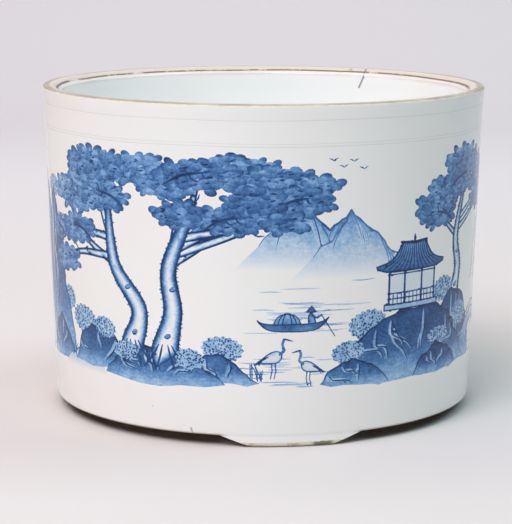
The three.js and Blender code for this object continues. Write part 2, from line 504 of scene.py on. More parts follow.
def arched_bridge(painting, at, width):
    """A humped stone bridge with one round arch and a railing of short posts."""
    size = (width, width)
    deck = smooth_path([(-0.5, 0.05), (-0.25, 0.22), (0, 0.3), (0.25, 0.22), (0.5, 0.05)], 0.05)
    turns = np.linspace(0, math.pi, 15)
    arch = np.stack((0.26 * np.cos(turns), 0.22 * np.sin(turns) - 0.08), 1)
    stone = np.concatenate((deck, [(0.5, -0.08)], arch, [(-0.5, -0.08)]))
    stops = ((at[0], at[1] + 0.3 * width, 0.22), (at[0], at[1] - 0.08 * width, 0.5))
    painting.wash(placed(stone, at, size), stops)
    for lift in (0.0, 0.085):
        painting.stroke(placed(deck + (0, lift), at, size), 0.55, ends=(0.8, 0.8))
    for lift, line_width in ((0.0, 0.6), (0.04, 0.36)):
        painting.stroke(placed(arch + (0, lift), at, size), line_width, ends=(0.8, 0.8))
    for spot in deck[1::2]:
        painting.stroke(placed([spot, spot + (0, 0.1)], at, size), 0.5, ends=BLUNT_ENDS)


def covered_boat(painting, at, length):
    """A small boat with a mat awning, and a boatman in a wide hat leaning on a pole."""
    size = (length, length)
    turns = np.linspace(0, math.pi, 13)
    mat = np.stack((0.2 * np.cos(turns) - 0.08, 0.19 * np.sin(turns) + 0.03), 1)
    painting.wash(placed(mat, at, size), ((at[0], at[1] + 0.22 * length, 0.34), (at[0], at[1], 0.6)))
    for share in (0.35, 0.68, 1.0):
        hoop = (mat - (-0.08, 0)) * (share, 1) + (-0.08, 0)
        painting.stroke(placed(hoop, at, size), 0.42, 0.93, ends=BLUNT_ENDS)
    robe = placed([(0.24, 0.04), (0.23, 0.16), (0.27, 0.23), (0.32, 0.17), (0.35, 0.04)], at, size)
    painting.wash(robe, 0.45, rim=0.25)
    painting.stroke(robe, 0.42, DARKEST, ends=(0.8, 0.8))
    hat = placed([(0.2, 0.235), (0.275, 0.32), (0.35, 0.235)], at, size)
    painting.outlined(hat, 0.75, 0.42, DARKEST)
    pole = placed([(0.26, 0.1), (0.42, 0.2), (0.64, -0.14)], at, size)
    painting.stroke(pole[1:], 0.42, ends=(0.8, 0.8))
    painting.stroke(placed([(0.28, 0.18), (0.36, 0.15), (0.43, 0.19)], at, size), 0.8, 0.8, ends=(0.9, 0.7))
    keel = [(-0.52, 0.12), (-0.36, -0.02), (0, -0.05), (0.36, -0.02), (0.54, 0.15)]
    hull = placed(smooth_path([*keel, (0.36, 0.07), (-0.36, 0.06)], 0.07, closed=True), at, size)
    stops = ((at[0], at[1] + 0.12 * length, 0.85), (at[0], at[1] - 0.05 * length, 0.62))
    painting.outlined(hull, stops, 0.45, DARKEST)


def sailing_boat(painting, at, height, seed):
    """A far boat under one battened sail."""
    size = (height, height)
    sail = placed([(-0.02, 0.14), (0.34, 0.18), (0.26, 0.92), (-0.02, 1.0)], at, size)
    painting.outlined(sail, 0.24, 0.38, 0.88, rim=0.1)
    for share in (0.32, 0.5, 0.68, 0.84):
        batten = placed([(-0.02, share), (0.3, share + 0.02)], at, size)
        painting.stroke(batten, 0.3, 0.8, ends=BLUNT_ENDS)
    hull = placed([(-0.4, 0.12), (-0.28, 0.0), (0.26, 0.0), (0.42, 0.14), (0, 0.08)], at, size)
    painting.outlined(hull, 0.78, 0.4)
    reach = 0.9 * height
    ripples(painting, at[0] - reach, at[0] + reach, at[1] - 0.3 * height, at[1] - 0.08 * height, 5, seed)


def geese(painting, at, count, seed):
    """A skein of geese, each two touches of the brush."""
    chance = random.Random(seed)
    for index in range(count):
        lift = (-1) ** index * 1.2 - 0.5 * index + chance.uniform(-0.4, 0.4)
        spot = np.array(at) + (index * 4.4, lift)
        painting.stroke([spot + (-1.9, 1.0), spot + (-0.7, 0.6), spot], 0.45, 0.9)
        painting.stroke([spot, spot + (0.8, 0.6), spot + (1.8, 1.1)], 0.45, 0.9)


def crane(painting, at, height, side=1):
    """A standing crane: a pale body, dark tail plumes and neck, and thin legs."""
    size = (side * height, height)
    for share in (-0.04, 0.05):
        leg = placed([(share, 0.42), (share + 0.02, 0.2), (share - 0.02, 0.0)], at, size)
        painting.stroke(leg, 0.36, 0.93, ends=BLUNT_ENDS)
    plumage = [(0.2, 0.62), (0.08, 0.68), (-0.12, 0.6), (-0.34, 0.4), (-0.1, 0.38), (0.1, 0.4), (0.2, 0.5)]
    body = placed(smooth_path(plumage, 0.05, closed=True), at, size)
    painting.outlined(body, 0.08, 0.4, 0.93, rim=0.22, rim_width=0.9)
    for share in (-0.46, -0.4, -0.34):
        plume = [(-0.12, 0.54), (-0.28, 0.5 + share * 0.1), (share, 0.3 - share * 0.1)]
        painting.stroke(placed(plume, at, size), 0.8, 0.9, ends=(0.6, 0.3))
    neck = placed(smooth_path([(0.16, 0.6), (0.28, 0.7), (0.22, 0.85), (0.27, 0.96)], 0.04), at, size)
    painting.stroke(neck, 0.9, 0.6, ends=(1.2, 0.8))
    bill = placed([(0.25, 0.97), (0.31, 0.97), (0.48, 0.92)], at, size)
    painting.stroke(bill, 0.6, DARKEST, ends=(1.5, 0.3))


def waterfall(painting, path, widths, seed):
    """Falling water: bare clay between the rocks, with a few long pale lines."""
    chance = random.Random(seed)
    fall = smooth_path(path, 2.0)
    painting.wash(ribbon(fall, widths), 0.03, rim=0.16, rim_width=0.8)
    for _ in range(9):
        start = chance.randrange(0, max(1, len(fall) - 6))
        end = min(len(fall), start + chance.randrange(4, 14))
        shift = chance.uniform(-0.32, 0.32) * max(widths)
        painting.stroke(fall[start:end] + (shift, 0), 0.34, chance.uniform(0.3, 0.55), ends=(0.5, 0.2))


# The whole landscape, from the far mountains forward. Places are millimetres to the right of the front
# and up from the table.
def far_shores(painting):
    """Mountains, geese and sails beyond the water, all round the pot."""
    peaks = (
        ([(-2, 84), (8, 93), (14, 105), (19, 99), (27, 90), (34, 95), (44, 84)], 74, 0.52, 9),
        ([(20, 79), (30, 88), (36, 98), (43, 91), (52, 84), (62, 77)], 70, 0.4, 8),
        ([(-256, 62), (-246, 80), (-237, 104), (-228, 92), (-215, 76), (-203, 86), (-194, 66)], 50, 0.5, 12),
        ([(-226, 56), (-210, 70), (-198, 84), (-190, 76), (-178, 60)], 46, 0.42, 9),
        ([(196, 62), (206, 84), (215, 106), (224, 98), (238, 82), (250, 90), (262, 64)], 50, 0.48, 12),
        ([(238, 58), (252, 74), (262, 86), (272, 72), (280, 60)], 46, 0.38, 8),
    )
    for seed, (ridge, foot, tone, folds) in enumerate(peaks):
        mountain(painting, ridge, foot, tone, seed, folds)
    geese(painting, (232, 114), 6, 10)
    geese(painting, (28, 117), 4, 11)
    waters = ((-292, -180, 28, 45), (196, 292, 26, 45), (-10, 50, 48, 69), (-12, 32, 25, 38))
    for left, right, low, high in waters:
        ripples(painting, left, right, low, high, 24, left)
    sailing_boat(painting, (-283, 50), 16, 12)
    sailing_boat(painting, (279, 36), 19, 13)
    covered_boat(painting, (12, 50), 28)


def waterfall_cliffs(painting):
    """Left of the front: a waterfall between two cliffs, with rocks in the pool at its foot."""
    growth = (
        ((-163, 86), (16, 13)), ((-156, 104), (14, 12)), ((-141, 96), (13, 13)),
        ((-126, 82), (13, 12)), ((-117, 100), (15, 11)), ((-107, 84), (15, 12)), ((-101, 54), (12, 10)),
    )
    for at, size in growth:
        bush(painting, at, size, at[0])
    between = [(-148, 34), (-146, 88), (-141, 99), (-134, 105), (-127, 98), (-122, 84), (-121, 34)]
    crag(painting, between, 19, dark=0.7, veins=0)
    back_cliff = [
        (-171, 28), (-166, 52), (-168, 76), (-161, 84), (-160, 100), (-152, 111),
        (-146, 105), (-143, 92), (-137, 85), (-139, 60), (-136, 30),
    ]
    crag(painting, back_cliff, 20, veins=6)
    cliff = [
        (-130, 28), (-132, 52), (-129, 76), (-124, 82), (-122, 96), (-117, 100),
        (-113, 89), (-107, 83), (-106, 66), (-101, 52), (-97, 30),
    ]
    crag(painting, cliff, 21, veins=7)
    waterfall(painting, [(-135, 99), (-134, 86), (-134, 64), (-133, 42), (-131, 28)], (2, 4, 5, 7, 10), 22)
    crag(painting, [(-153, 27), (-147, 38), (-140, 43), (-134, 33), (-130, 26)], 23, dark=0.74)
    crag(painting, [(-127, 26), (-122, 36), (-113, 45), (-104, 38), (-97, 27)], 24)


def tree_bank(painting):
    """The near bank, with two broadleaf trees and a pair of cranes at the water's edge."""
    shore(painting, [(-104, 28), (-92, 33), (-78, 35)], 24, 0.45, 30)
    bush(painting, (-88, 46), (19, 13), 34)
    bush(painting, (-17, 41), (17, 12), 36)
    crag(painting, [(-97, 28), (-92, 38), (-83, 45), (-72, 44), (-63, 37), (-56, 30)], 31)
    bush(painting, (-74, 45), (14, 9), 35)
    crag(painting, [(-34, 28), (-28, 36), (-19, 39), (-10, 33), (-2, 27)], 32, dark=0.76)
    crag(painting, [(-74, 26), (-65, 35), (-52, 40), (-40, 38), (-27, 34), (-16, 26)], 33, veins=6)
    left_crown = [
        (-10, 12, 34, 15), (16, 16, 30, 13), (-20, 2, 28, 13), (-33, 4, 18, 9),
        (-22, -12, 26, 12), (-32, -26, 22, 11), (-4, 4, 30, 13), (-8, 17, 38, 12), (-40, -14, 14, 8),
    ]
    broadleaf(painting, (-58, 37), 60, -0.2, left_crown, 37, tone=0.6)
    right_crown = [
        (-14, 8, 26, 12), (16, 14, 38, 13), (34, 10, 30, 12), (51, 8, 16, 8),
        (6, -8, 18, 9), (16, -6, 28, 12), (-8, -4, 20, 10), (44, 2, 26, 11),
        (24, 2, 24, 11), (2, 12, 36, 13), (36, -7, 18, 8),
    ]
    broadleaf(painting, (-42, 36), 64, 0.22, right_crown, 38, tone=0.64)
    bush(painting, (-62, 37), (13, 9), 39)
    bush(painting, (-31, 36), (14, 9), 42)
    reeds(painting, (-3, 28), 8, 40)
    reeds(painting, (-98, 29), 7, 41)
    crane(painting, (4, 29), 17)
    crane(painting, (19, 26), 15, side=-1)


def pavilion_headland(painting):
    """Right of the front: a pavilion on its headland, with a tree behind it."""
    behind_crown = [
        (-14, 2, 30, 13), (14, 8, 30, 13), (0, 13, 36, 12), (-27, -4, 16, 9),
        (-20, -8, 24, 11), (22, -4, 26, 12), (2, 6, 34, 13), (30, 6, 16, 9),
    ]
    broadleaf(painting, (98, 54), 46, 0.12, behind_crown, 50, tone=0.62)
    bush(painting, (88, 60), (16, 11), 56)
    crag(painting, [(80, 32), (87, 52), (96, 59), (108, 55), (116, 42), (122, 26)], 51, veins=6)
    bush(painting, (45, 50), (18, 13), 55)
    headland = [(28, 27), (34, 36), (43, 45), (52, 51), (62, 55), (82, 55), (95, 49), (105, 37), (113, 27)]
    crag(painting, headland, 52, veins=9)
    pavilion(painting, (68, 57), 33)
    bush(painting, (36, 39), (15, 10), 57)
    bush(painting, (105, 47), (16, 11), 58)
    crag(painting, [(24, 26), (29, 32), (38, 36), (47, 33), (56, 25)], 53, dark=0.78)
    bush(painting, (86, 40), (15, 9), 59)
    crag(painting, [(70, 25), (75, 33), (84, 38), (94, 35), (102, 26)], 89, dark=0.9, veins=3)


def bridge_village(painting):
    """Round to the right: a bridge over to the village and its willow."""
    ripples(painting, 112, 150, 24, 33, 12, 60)
    arched_bridge(painting, (126, 36), 34)
    shore(painting, [(138, 39), (152, 46), (168, 47), (182, 44), (200, 34)], 25, 0.56, 62)
    bush(painting, (186, 42), (19, 12), 64)
    cottage(painting, (172, 46), 19)
    cottage(painting, (157, 47), 17)
    willow(painting, (146, 42), 62, 63)
    bush(painting, (166, 36), (17, 11), 65)
    crag(painting, [(142, 28), (149, 36), (158, 38), (170, 34), (184, 34), (194, 25)], 61, veins=6)
    bush(painting, (150, 36), (14, 9), 66)


def tree_islet(painting):
    """Farther round to the right: an islet with one tree and its reeds."""
    crown = [
        (-12, 0, 24, 11), (12, 4, 26, 12), (-2, 9, 30, 12),
        (2, -2, 22, 10), (-20, -6, 14, 8), (21, -2, 15, 8),
    ]
    broadleaf(painting, (232, 36), 40, 0.1, crown, 80, tone=0.62)
    bush(painting, (214, 35), (15, 10), 81)
    crag(painting, [(204, 27), (212, 34), (224, 38), (238, 37), (250, 31), (258, 26)], 82, veins=6)
    bush(painting, (245, 35), (15, 10), 83)
    reeds(painting, (261, 27), 9, 84)
    reeds(painting, (201, 28), 7, 85)


def pagoda_hill(painting):
    """Round to the left: a wooded hill with a pagoda, and its foot in the lake."""
    hill = [(-200, 56), (-192, 68), (-182, 79), (-172, 84), (-162, 75), (-154, 62)]
    mountain(painting, hill, 38, 0.62, 70, folds=9)
    pagoda(painting, (-174, 80), 38)
    bush(painting, (-206, 42), (16, 11), 73)
    crag(painting, [(-214, 28), (-206, 38), (-194, 45), (-178, 44), (-166, 36), (-156, 27)], 71, veins=6)
    hill_crown = [
        (-10, 2, 26, 12), (12, 4, 24, 12), (-2, 8, 28, 12),
        (0, -4, 24, 10), (-18, -2, 14, 8), (20, 0, 14, 8),
    ]
    broadleaf(painting, (-190, 45), 28, -0.1, hill_crown, 72)
    bush(painting, (-176, 45), (18, 10), 74)
    shore(painting, [(-246, 30), (-232, 35), (-216, 36), (-204, 31)], 24, 0.5, 76)
    willow(painting, (-224, 33), 52, 75, side=-1)
    crag(painting, [(-238, 26), (-230, 32), (-220, 35), (-210, 31), (-203, 25)], 77)
    reeds(painting, (-242, 30), 8, 78)


landscape = Painting()
far_shores(landscape)
pagoda_hill(landscape)
waterfall_cliffs(landscape)
tree_bank(landscape)
pavilion_headland(landscape)
bridge_village(landscape)
tree_islet(landscape)


# The painted band of the wall is cut into triangles along every brush edge, so that each mark keeps its
# own outline in the mesh. The pigment itself is held at the triangles' corners.
BAND_LOW = WALL_FOOT + 1.5
BAND_HIGH = WALL_TOP - 4.0
COLUMNS = 192
BORDER_ROWS = 66
LONGEST_RUN = 1.4
FINE_GAP = 1.7
COARSE_GAP = 4.0
CLEARANCE = 0.45
NEAR_MARKS = 1.8
CLOSEST_MERGE = 0.03
LONGEST_BRIDGE = 0.55
ROW_SHARE = 0.87
STRAY_SHARE = 0.12
STRAY_SEED = 5


def even_path(path, closed):
    """The same line with no run longer than LONGEST_RUN."""
    ends = np.concatenate((path, path[:1])) if closed else path
    pieces = []
    for start, end in zip(ends, ends[1:]):
        steps = max(1, math.ceil(np.linalg.norm(end - start) / LONGEST_RUN))
        pieces.append(start + (end - start) * (np.arange(steps) / steps)[:, None])
    if not closed:
        pieces.append(ends[-1:])
    return np.concatenate(pieces)


def cells_touched(points, size, reach=1):
    """The square cells that hold a point, and those within reach of them."""
    cells = np.floor(points / size).astype(int)
    around = range(-reach, reach + 1)
    shifts = np.array([(across, up) for across in around for up in around])
    return set(map(tuple, (cells[:, None] + shifts).reshape(-1, 2)))


def free_points(fixed, stray):
    """Loose points: close together beside the marks, far apart on the bare glaze."""
    near = cells_touched(fixed, NEAR_MARKS)
    taken = cells_touched(fixed, CLEARANCE)
    kept = []
    for gap, wanted in ((FINE_GAP, True), (COARSE_GAP, False)):
        across = np.arange(gap - HALF_ROUND, HALF_ROUND - gap / 2, gap)
        up = np.arange(BAND_LOW + gap / 2, BAND_HIGH - gap / 4, gap * ROW_SHARE)
        grid = np.stack(np.meshgrid(across, up), -1)
        grid[1::2, :, 0] += gap / 2
        spots = grid.reshape(-1, 2)
        spots += stray.uniform(-STRAY_SHARE, STRAY_SHARE, spots.shape) * gap
        inside = np.abs(spots[:, 0]) < HALF_ROUND - CLEARANCE
        inside &= (spots[:, 1] > BAND_LOW + CLEARANCE) & (spots[:, 1] < BAND_HIGH - CLEARANCE)
        spots = spots[inside]
        fine = [tuple(cell) in near for cell in np.floor(spots / NEAR_MARKS).astype(int)]
        clear = [tuple(cell) not in taken for cell in np.floor(spots / CLEARANCE).astype(int)]
        kept.append(spots[(np.array(fine) == wanted) & np.array(clear)])
    return np.concatenate(kept)


def band_border():
    """The edge of the flat band, with one point along its top and bottom for each turned column."""
    rows = np.linspace(BAND_LOW, BAND_HIGH, BORDER_ROWS)
    columns = np.linspace(-HALF_ROUND, HALF_ROUND, COLUMNS + 1)
    bottom = [(column, BAND_LOW) for column in columns]
    right = [(HALF_ROUND, row) for row in rows[1:-1]]
    top = [(column, BAND_HIGH) for column in columns[::-1]]
    left = [(-HALF_ROUND, row) for row in rows[-2:0:-1]]
    return np.array(bottom + right + top + left)


def unrolled_triangles(painting):
    """Corner points and triangles of the flat band, with every mark's edge among their sides. A long side
    that bridges two lines is broken in its middle, so that neither line's edge is drawn across it."""
    stray = np.random.default_rng(STRAY_SEED)
    points, edges, on_stroke = [], [], []
    lines = [("border", band_border())]
    lines += [(kind, even_path(path, kind == "wash")) for kind, path, *_ in painting.marks]
    start = 0
    for kind, path in lines:
        count = len(path)
        points.append(path)
        on_stroke.append(np.full(count, kind == "stroke"))
        order = np.arange(start, start + count)
        pairs = np.stack((order, np.roll(order, -1)), 1)
        edges.append(pairs[:-1] if kind == "stroke" else pairs)
        start += count
    fixed = np.concatenate(points)
    edges = np.concatenate(edges).tolist()
    on_stroke = np.concatenate(on_stroke)
    loose = free_points(fixed, stray)
    for _ in range(2):
        spots = np.concatenate((fixed, loose))
        result = delaunay_2d_cdt([Vector(spot) for spot in spots], edges, [], 0, CLOSEST_MERGE, True)
        corners = np.array([tuple(corner) for corner in result[0]])
        sides = np.array(result[1])
        drawn = np.array([len(source) > 0 for source in result[4]])
        given = [[one for one in source if one < len(on_stroke)] for source in result[3]]
        inked = np.array([on_stroke[source].any() for source in given])
        length = np.linalg.norm(corners[sides[:, 0]] - corners[sides[:, 1]], axis=1)
        bridging = inked[sides].all(1) & ~drawn & (length > LONGEST_BRIDGE)
        loose = np.concatenate((loose, corners[sides[bridging]].mean(1)))
    triangles = np.array([face for face in result[2] if len(face) == 3])
    return corners, triangles


# The pigment is carried at each triangle's own corners, so a wash stops dead at its outline. A line is
# carried as the distance to its edge, below zero inside it, which the glaze turns into a soft edge.
PIGMENTS = ("tone", "dotted", "ink", "ink_tone")
FAR_FROM_INK = 2.5


def inside_outline(spots, outline):
    """Which of the spots lie inside a closed outline."""
    inside = np.zeros(len(spots), bool)
    for start, end in zip(outline, np.roll(outline, -1, axis=0)):
        if start[1] == end[1]:
            continue
        spans = (start[1] > spots[:, 1]) != (end[1] > spots[:, 1])
        reach = start[0] + (spots[:, 1] - start[1]) * (end[0] - start[0]) / (end[1] - start[1])
        inside ^= spans & (spots[:, 0] < reach)
    return inside


def beside_line(spots, path):
    """For each spot, its distance from a line and how far along the line's points it lies, from 0 to 1."""
    nearest = np.full(len(spots), 1e9)
    along = np.zeros(len(spots))
    for index, (start, end) in enumerate(zip(path, path[1:])):
        run = end - start
        share = (((spots - start) @ run) / (run @ run)).clip(0, 1)
        gap = np.linalg.norm(spots - (start + share[:, None] * run), axis=1)
        closer = gap < nearest
        nearest[closer] = gap[closer]
        along[closer] = (index + share[closer]) / (len(path) - 1)
    return nearest, along


def stroke_width(width, ends, along):
    """The width of a brush line along its length: full in the middle, drawn in towards both ends."""
    return width * np.interp(along, (0, 0.3, 0.7, 1), (ends[0], 1, 1, ends[1]))


def wash_tone(tone, spots):
    """The tone of a wash at each spot, which may run between stops laid along one straight line."""
    if not isinstance(tone, tuple):
        return np.full(len(spots), float(tone))
    start, end = np.array(tone[0][:2]), np.array(tone[-1][:2])
    run = end - start
    share = ((spots - start) @ run) / (run @ run)
    stops = [((np.array(stop[:2]) - start) @ run) / (run @ run) for stop in tone]
    return np.interp(share, stops, [stop[2] for stop in tone])


def lay_pigment(painting, corners, triangles):
    """The pigments at each triangle's three corners, as one array for each name in PIGMENTS."""
    order = np.argsort(corners[triangles].mean(1)[:, 0])
    triangles = triangles[order]
    spots = corners[triangles]
    centres = spots.mean(1)
    pigment = {name: np.zeros((len(triangles), 3)) for name in PIGMENTS}
    pigment["ink"][:] = FAR_FROM_INK
    for kind, path, tone, settings in painting.marks:
        margin = 0.0 if kind == "wash" else FAR_FROM_INK
        low, high = path.min(0) - margin, path.max(0) + margin
        first, last = np.searchsorted(centres[:, 0], (low[0], high[0]))
        level = centres[first:last, 1]
        chosen = first + np.nonzero((level >= low[1]) & (level <= high[1]))[0]
        if kind == "wash":
            chosen = chosen[inside_outline(centres[chosen], path)]
            here = spots[chosen].reshape(-1, 2)
            rim, rim_width, dotted = settings
            laid = wash_tone(tone, here)
            if rim:
                gap, _ = beside_line(here, np.concatenate((path, path[:1])))
                laid = laid + rim * (1 - gap / rim_width).clip(0, 1)
            pigment["tone"][chosen] = laid.reshape(-1, 3)
            pigment["dotted"][chosen] = dotted
            pigment["ink"][chosen] = FAR_FROM_INK
        else:
            here = spots[chosen].reshape(-1, 2)
            gap, along = beside_line(here, path)
            edge = (gap - stroke_width(*settings, along) / 2).reshape(-1, 3)
            thinner = edge < pigment["ink"][chosen]
            pigment["ink"][chosen] = np.where(thinner, edge, pigment["ink"][chosen])
            pigment["ink_tone"][chosen] = np.where(thinner, tone, pigment["ink_tone"][chosen])
    return triangles, pigment


# The rest of the wall is turned: rings of points from the painted band up over the lip, down the inside
# to the seat, out along the underside and up round the lower edge, which sits flush on the feet.
FOOT_TURN = 7.5
FOOT_COUNT = 3
FOOT_HALF_AT_WALL = 29.5
FOOT_END_FADE = 3.0
LOWER_EDGE_ROUNDING = 0.8
THROWING_RING_GAP = 11.0
THROWING_RING_DEPTH = 0.08
LIP_STEPS = 6
FLAT_STEPS = 3
SLOPE_SPACING = 0.9
BORE_ROWS = 34
EDGE_STEPS = 5
LEAST_ROUNDING = 0.02
# The inner slope's curve, as shares of its width and depth
SLOPE_SHARES = ((1.0, 0.0), (0.8, 0.1), (0.1, 0.8), (0.0, 1.0))


def arc(across, up, radius, start, end, steps):
    """Points on an arc about (across, up), from one angle to another in degrees."""
    turns = np.radians(np.linspace(start, end, steps + 1))
    return np.stack((across + radius * np.cos(turns), up + radius * np.sin(turns)), 1)


def beside_foot(angle):
    """How far a point of the wall is past the end of the nearest foot, from 0 to 1."""
    spacing = math.tau / FOOT_COUNT
    offset = (angle - math.radians(FOOT_TURN) + spacing / 2) % spacing - spacing / 2
    past = np.abs(offset) * LOWER_EDGE_RADIUS - FOOT_HALF_AT_WALL
    return (past / FOOT_END_FADE + 1).clip(0.0, 1.0)


def turned_profile(angle):
    """The wall's section from the top of the painted band round to its foot, as (radius, height)."""
    up = np.linspace(BAND_HIGH, WALL_TOP - OUTER_LIP_ROUNDING, 3)[1:-1]
    outside = np.stack((outer_radius(up), up), 1)
    outer = OUTER_LIP_ROUNDING
    outer_lip = arc(RIM_RADIUS - outer, WALL_TOP - outer, outer, 0, 90, LIP_STEPS)
    flat = np.linspace(RIM_RADIUS - outer, LIP_INNER_RADIUS + INNER_SLOPE_WIDTH, FLAT_STEPS + 1)[1:-1]
    top = np.stack((flat, np.full(len(flat), WALL_TOP)), 1)
    slope = np.array(SLOPE_SHARES) * (INNER_SLOPE_WIDTH, -INNER_SLOPE_DEPTH) + (LIP_INNER_RADIUS, WALL_TOP)
    inner_lip = smooth_path(slope, spacing=SLOPE_SPACING)
    bore_top = WALL_TOP - INNER_SLOPE_DEPTH
    down = np.linspace(bore_top, SEAT_TOP, BORE_ROWS)[1:]
    fall = (bore_top - down) / (bore_top - SEAT_TOP)
    inside = LIP_INNER_RADIUS + (SEAT_RADIUS - LIP_INNER_RADIUS) * fall
    rings = THROWING_RING_DEPTH * np.sin(down / THROWING_RING_GAP * math.tau + 0.4 * math.sin(angle))
    inside += rings * np.sin(math.pi * fall)
    bore = np.stack((inside, down), 1)
    seat = np.array([(SEAT_RADIUS, WALL_FOOT)])
    rounding = LOWER_EDGE_ROUNDING * beside_foot(angle) + LEAST_ROUNDING
    edge = arc(LOWER_EDGE_RADIUS - rounding, WALL_FOOT + rounding, rounding, -90, 0, EDGE_STEPS)
    return np.concatenate((outside, outer_lip, top, inner_lip, bore, seat, edge))


def ring_points():
    """The turned rows, one for each point of the section, each with one point for every column."""
    angles = -math.pi + math.tau * np.arange(COLUMNS) / COLUMNS
    rows = np.stack([turned_profile(angle) for angle in angles], 1)
    return angles, rows


# The band and the turned rows are joined into one closed shell. Its normals follow the turned curve
# exactly, and its map lays the outside out as two long strips above one another. Places
# along the section are in millimetres, up the outside, over the lip, down the inside and back out below.
LIP_START = BAND_HIGH + 2.8
INSIDE_START = LIP_START + 10.3
SEAT_START = LIP_START + 130.0
UNDERSIDE_START = LIP_START + 143.4
UNDERSIDE_END = LIP_START + 151.6
SECTION_END = LIP_START + 160.0
STRIPS = (
    # From and to along the section, the map's lower and upper edge, and whether the back lies apart
    (0.0, LIP_START, 0.004, 0.384, True),
    (LIP_START, INSIDE_START, 0.780, 0.815, False),
    (INSIDE_START, SEAT_START, 0.823, 0.975, False),
    (SEAT_START, SECTION_END, 0.983, 0.997, False),
)
BACK_STRIP_SHIFT = 0.388
STRIP_MARGIN = 12.0
SAME_PLACE = 1e-4


def wall_points(unrolled):
    """Points of the band on the wall's outside, and their normals."""
    turn = unrolled[:, 0] / UNROLLED_RADIUS
    radius = outer_radius(unrolled[:, 1])
    slope = outer_radius(unrolled[:, 1] + 0.5) - outer_radius(unrolled[:, 1] - 0.5)
    across, back = np.sin(turn), -np.cos(turn)
    spots = np.stack((radius * across, radius * back, unrolled[:, 1]), 1)
    normals = np.stack((across, back, -slope), 1)
    return spots, normals / np.linalg.norm(normals, axis=1, keepdims=True)


def turned_points(angles, rows):
    """Points of the turned rows, their normals, and how far each lies along the section."""
    run = np.gradient(rows, axis=0)
    across, back = np.sin(angles), -np.cos(angles)
    spots = np.stack((rows[..., 0] * across, rows[..., 0] * back, rows[..., 1]), -1)
    normals = np.stack((run[..., 1] * across, run[..., 1] * back, -run[..., 0]), -1)
    normals /= np.linalg.norm(normals, axis=-1, keepdims=True)
    start = np.array((outer_radius(BAND_HIGH), BAND_HIGH))
    steps = np.linalg.norm(np.diff(np.concatenate((start[None], rows[:, 0])), axis=0), axis=1)
    return spots.reshape(-1, 3), normals.reshape(-1, 3), BAND_HIGH + np.cumsum(steps)


def seam_joined(corners):
    """Which corner each one is: on the band's right border, the left border's corner at the same height."""
    left = np.nonzero(corners[:, 0] < SAME_PLACE - HALF_ROUND)[0]
    right = np.nonzero(corners[:, 0] > HALF_ROUND - SAME_PLACE)[0]
    same = np.arange(len(corners))
    same[right[np.argsort(corners[right, 1])]] = left[np.argsort(corners[left, 1])]
    return same


def border_row(corners, same, level):
    """The band's corners along its upper or lower border, one for each column."""
    border = np.nonzero(np.abs(corners[:, 1] - level) < SAME_PLACE)[0]
    return same[border[np.argsort(corners[border, 0])]][:COLUMNS]


def turned_corners(along):
    """How far round the wall and along its section each corner of the turned rows' faces lies."""
    column = -HALF_ROUND + 2 * HALF_ROUND * np.arange(COLUMNS + 1) / COLUMNS
    stops = np.concatenate(([BAND_HIGH], along, [along[-1] + 1.0]))
    shape = (len(stops) - 1, COLUMNS, 4)
    quad_round = np.stack((column[:-1], column[1:], column[1:], column[:-1]), -1)
    quad_along = np.stack((stops[:-1], stops[:-1], stops[1:], stops[1:]), -1)
    return np.broadcast_to(quad_round, shape).ravel(), np.broadcast_to(quad_along[:, None], shape).ravel()


def export_map(corner_round, corner_along, sides):
    """Each face corner's place in the map of STRIPS, from the place of the middle of its face."""
    face_of = np.repeat(np.arange(len(sides)), sides)
    middle_round = np.bincount(face_of, corner_round) / sides
    middle_along = np.bincount(face_of, corner_along) / sides
    place = np.zeros((len(face_of), 2))
    for start, end, low, high, parted in STRIPS:
        here = ((middle_along >= start) & (middle_along < end))[face_of]
        up = low + (corner_along.clip(start, end) - start) / (end - start) * (high - low)
        if parted:
            behind = (np.abs(middle_round) > HALF_ROUND / 2)[face_of]
            shifted = corner_round - np.sign(corner_round) * HALF_ROUND
            across = 0.5 + np.where(behind, shifted, corner_round) / (HALF_ROUND + STRIP_MARGIN)
            up = up + behind * BACK_STRIP_SHIFT
        else:
            across = 0.5 + corner_round / (2 * HALF_ROUND + STRIP_MARGIN)
        place[here] = np.stack((across, up), 1)[here]
    return place


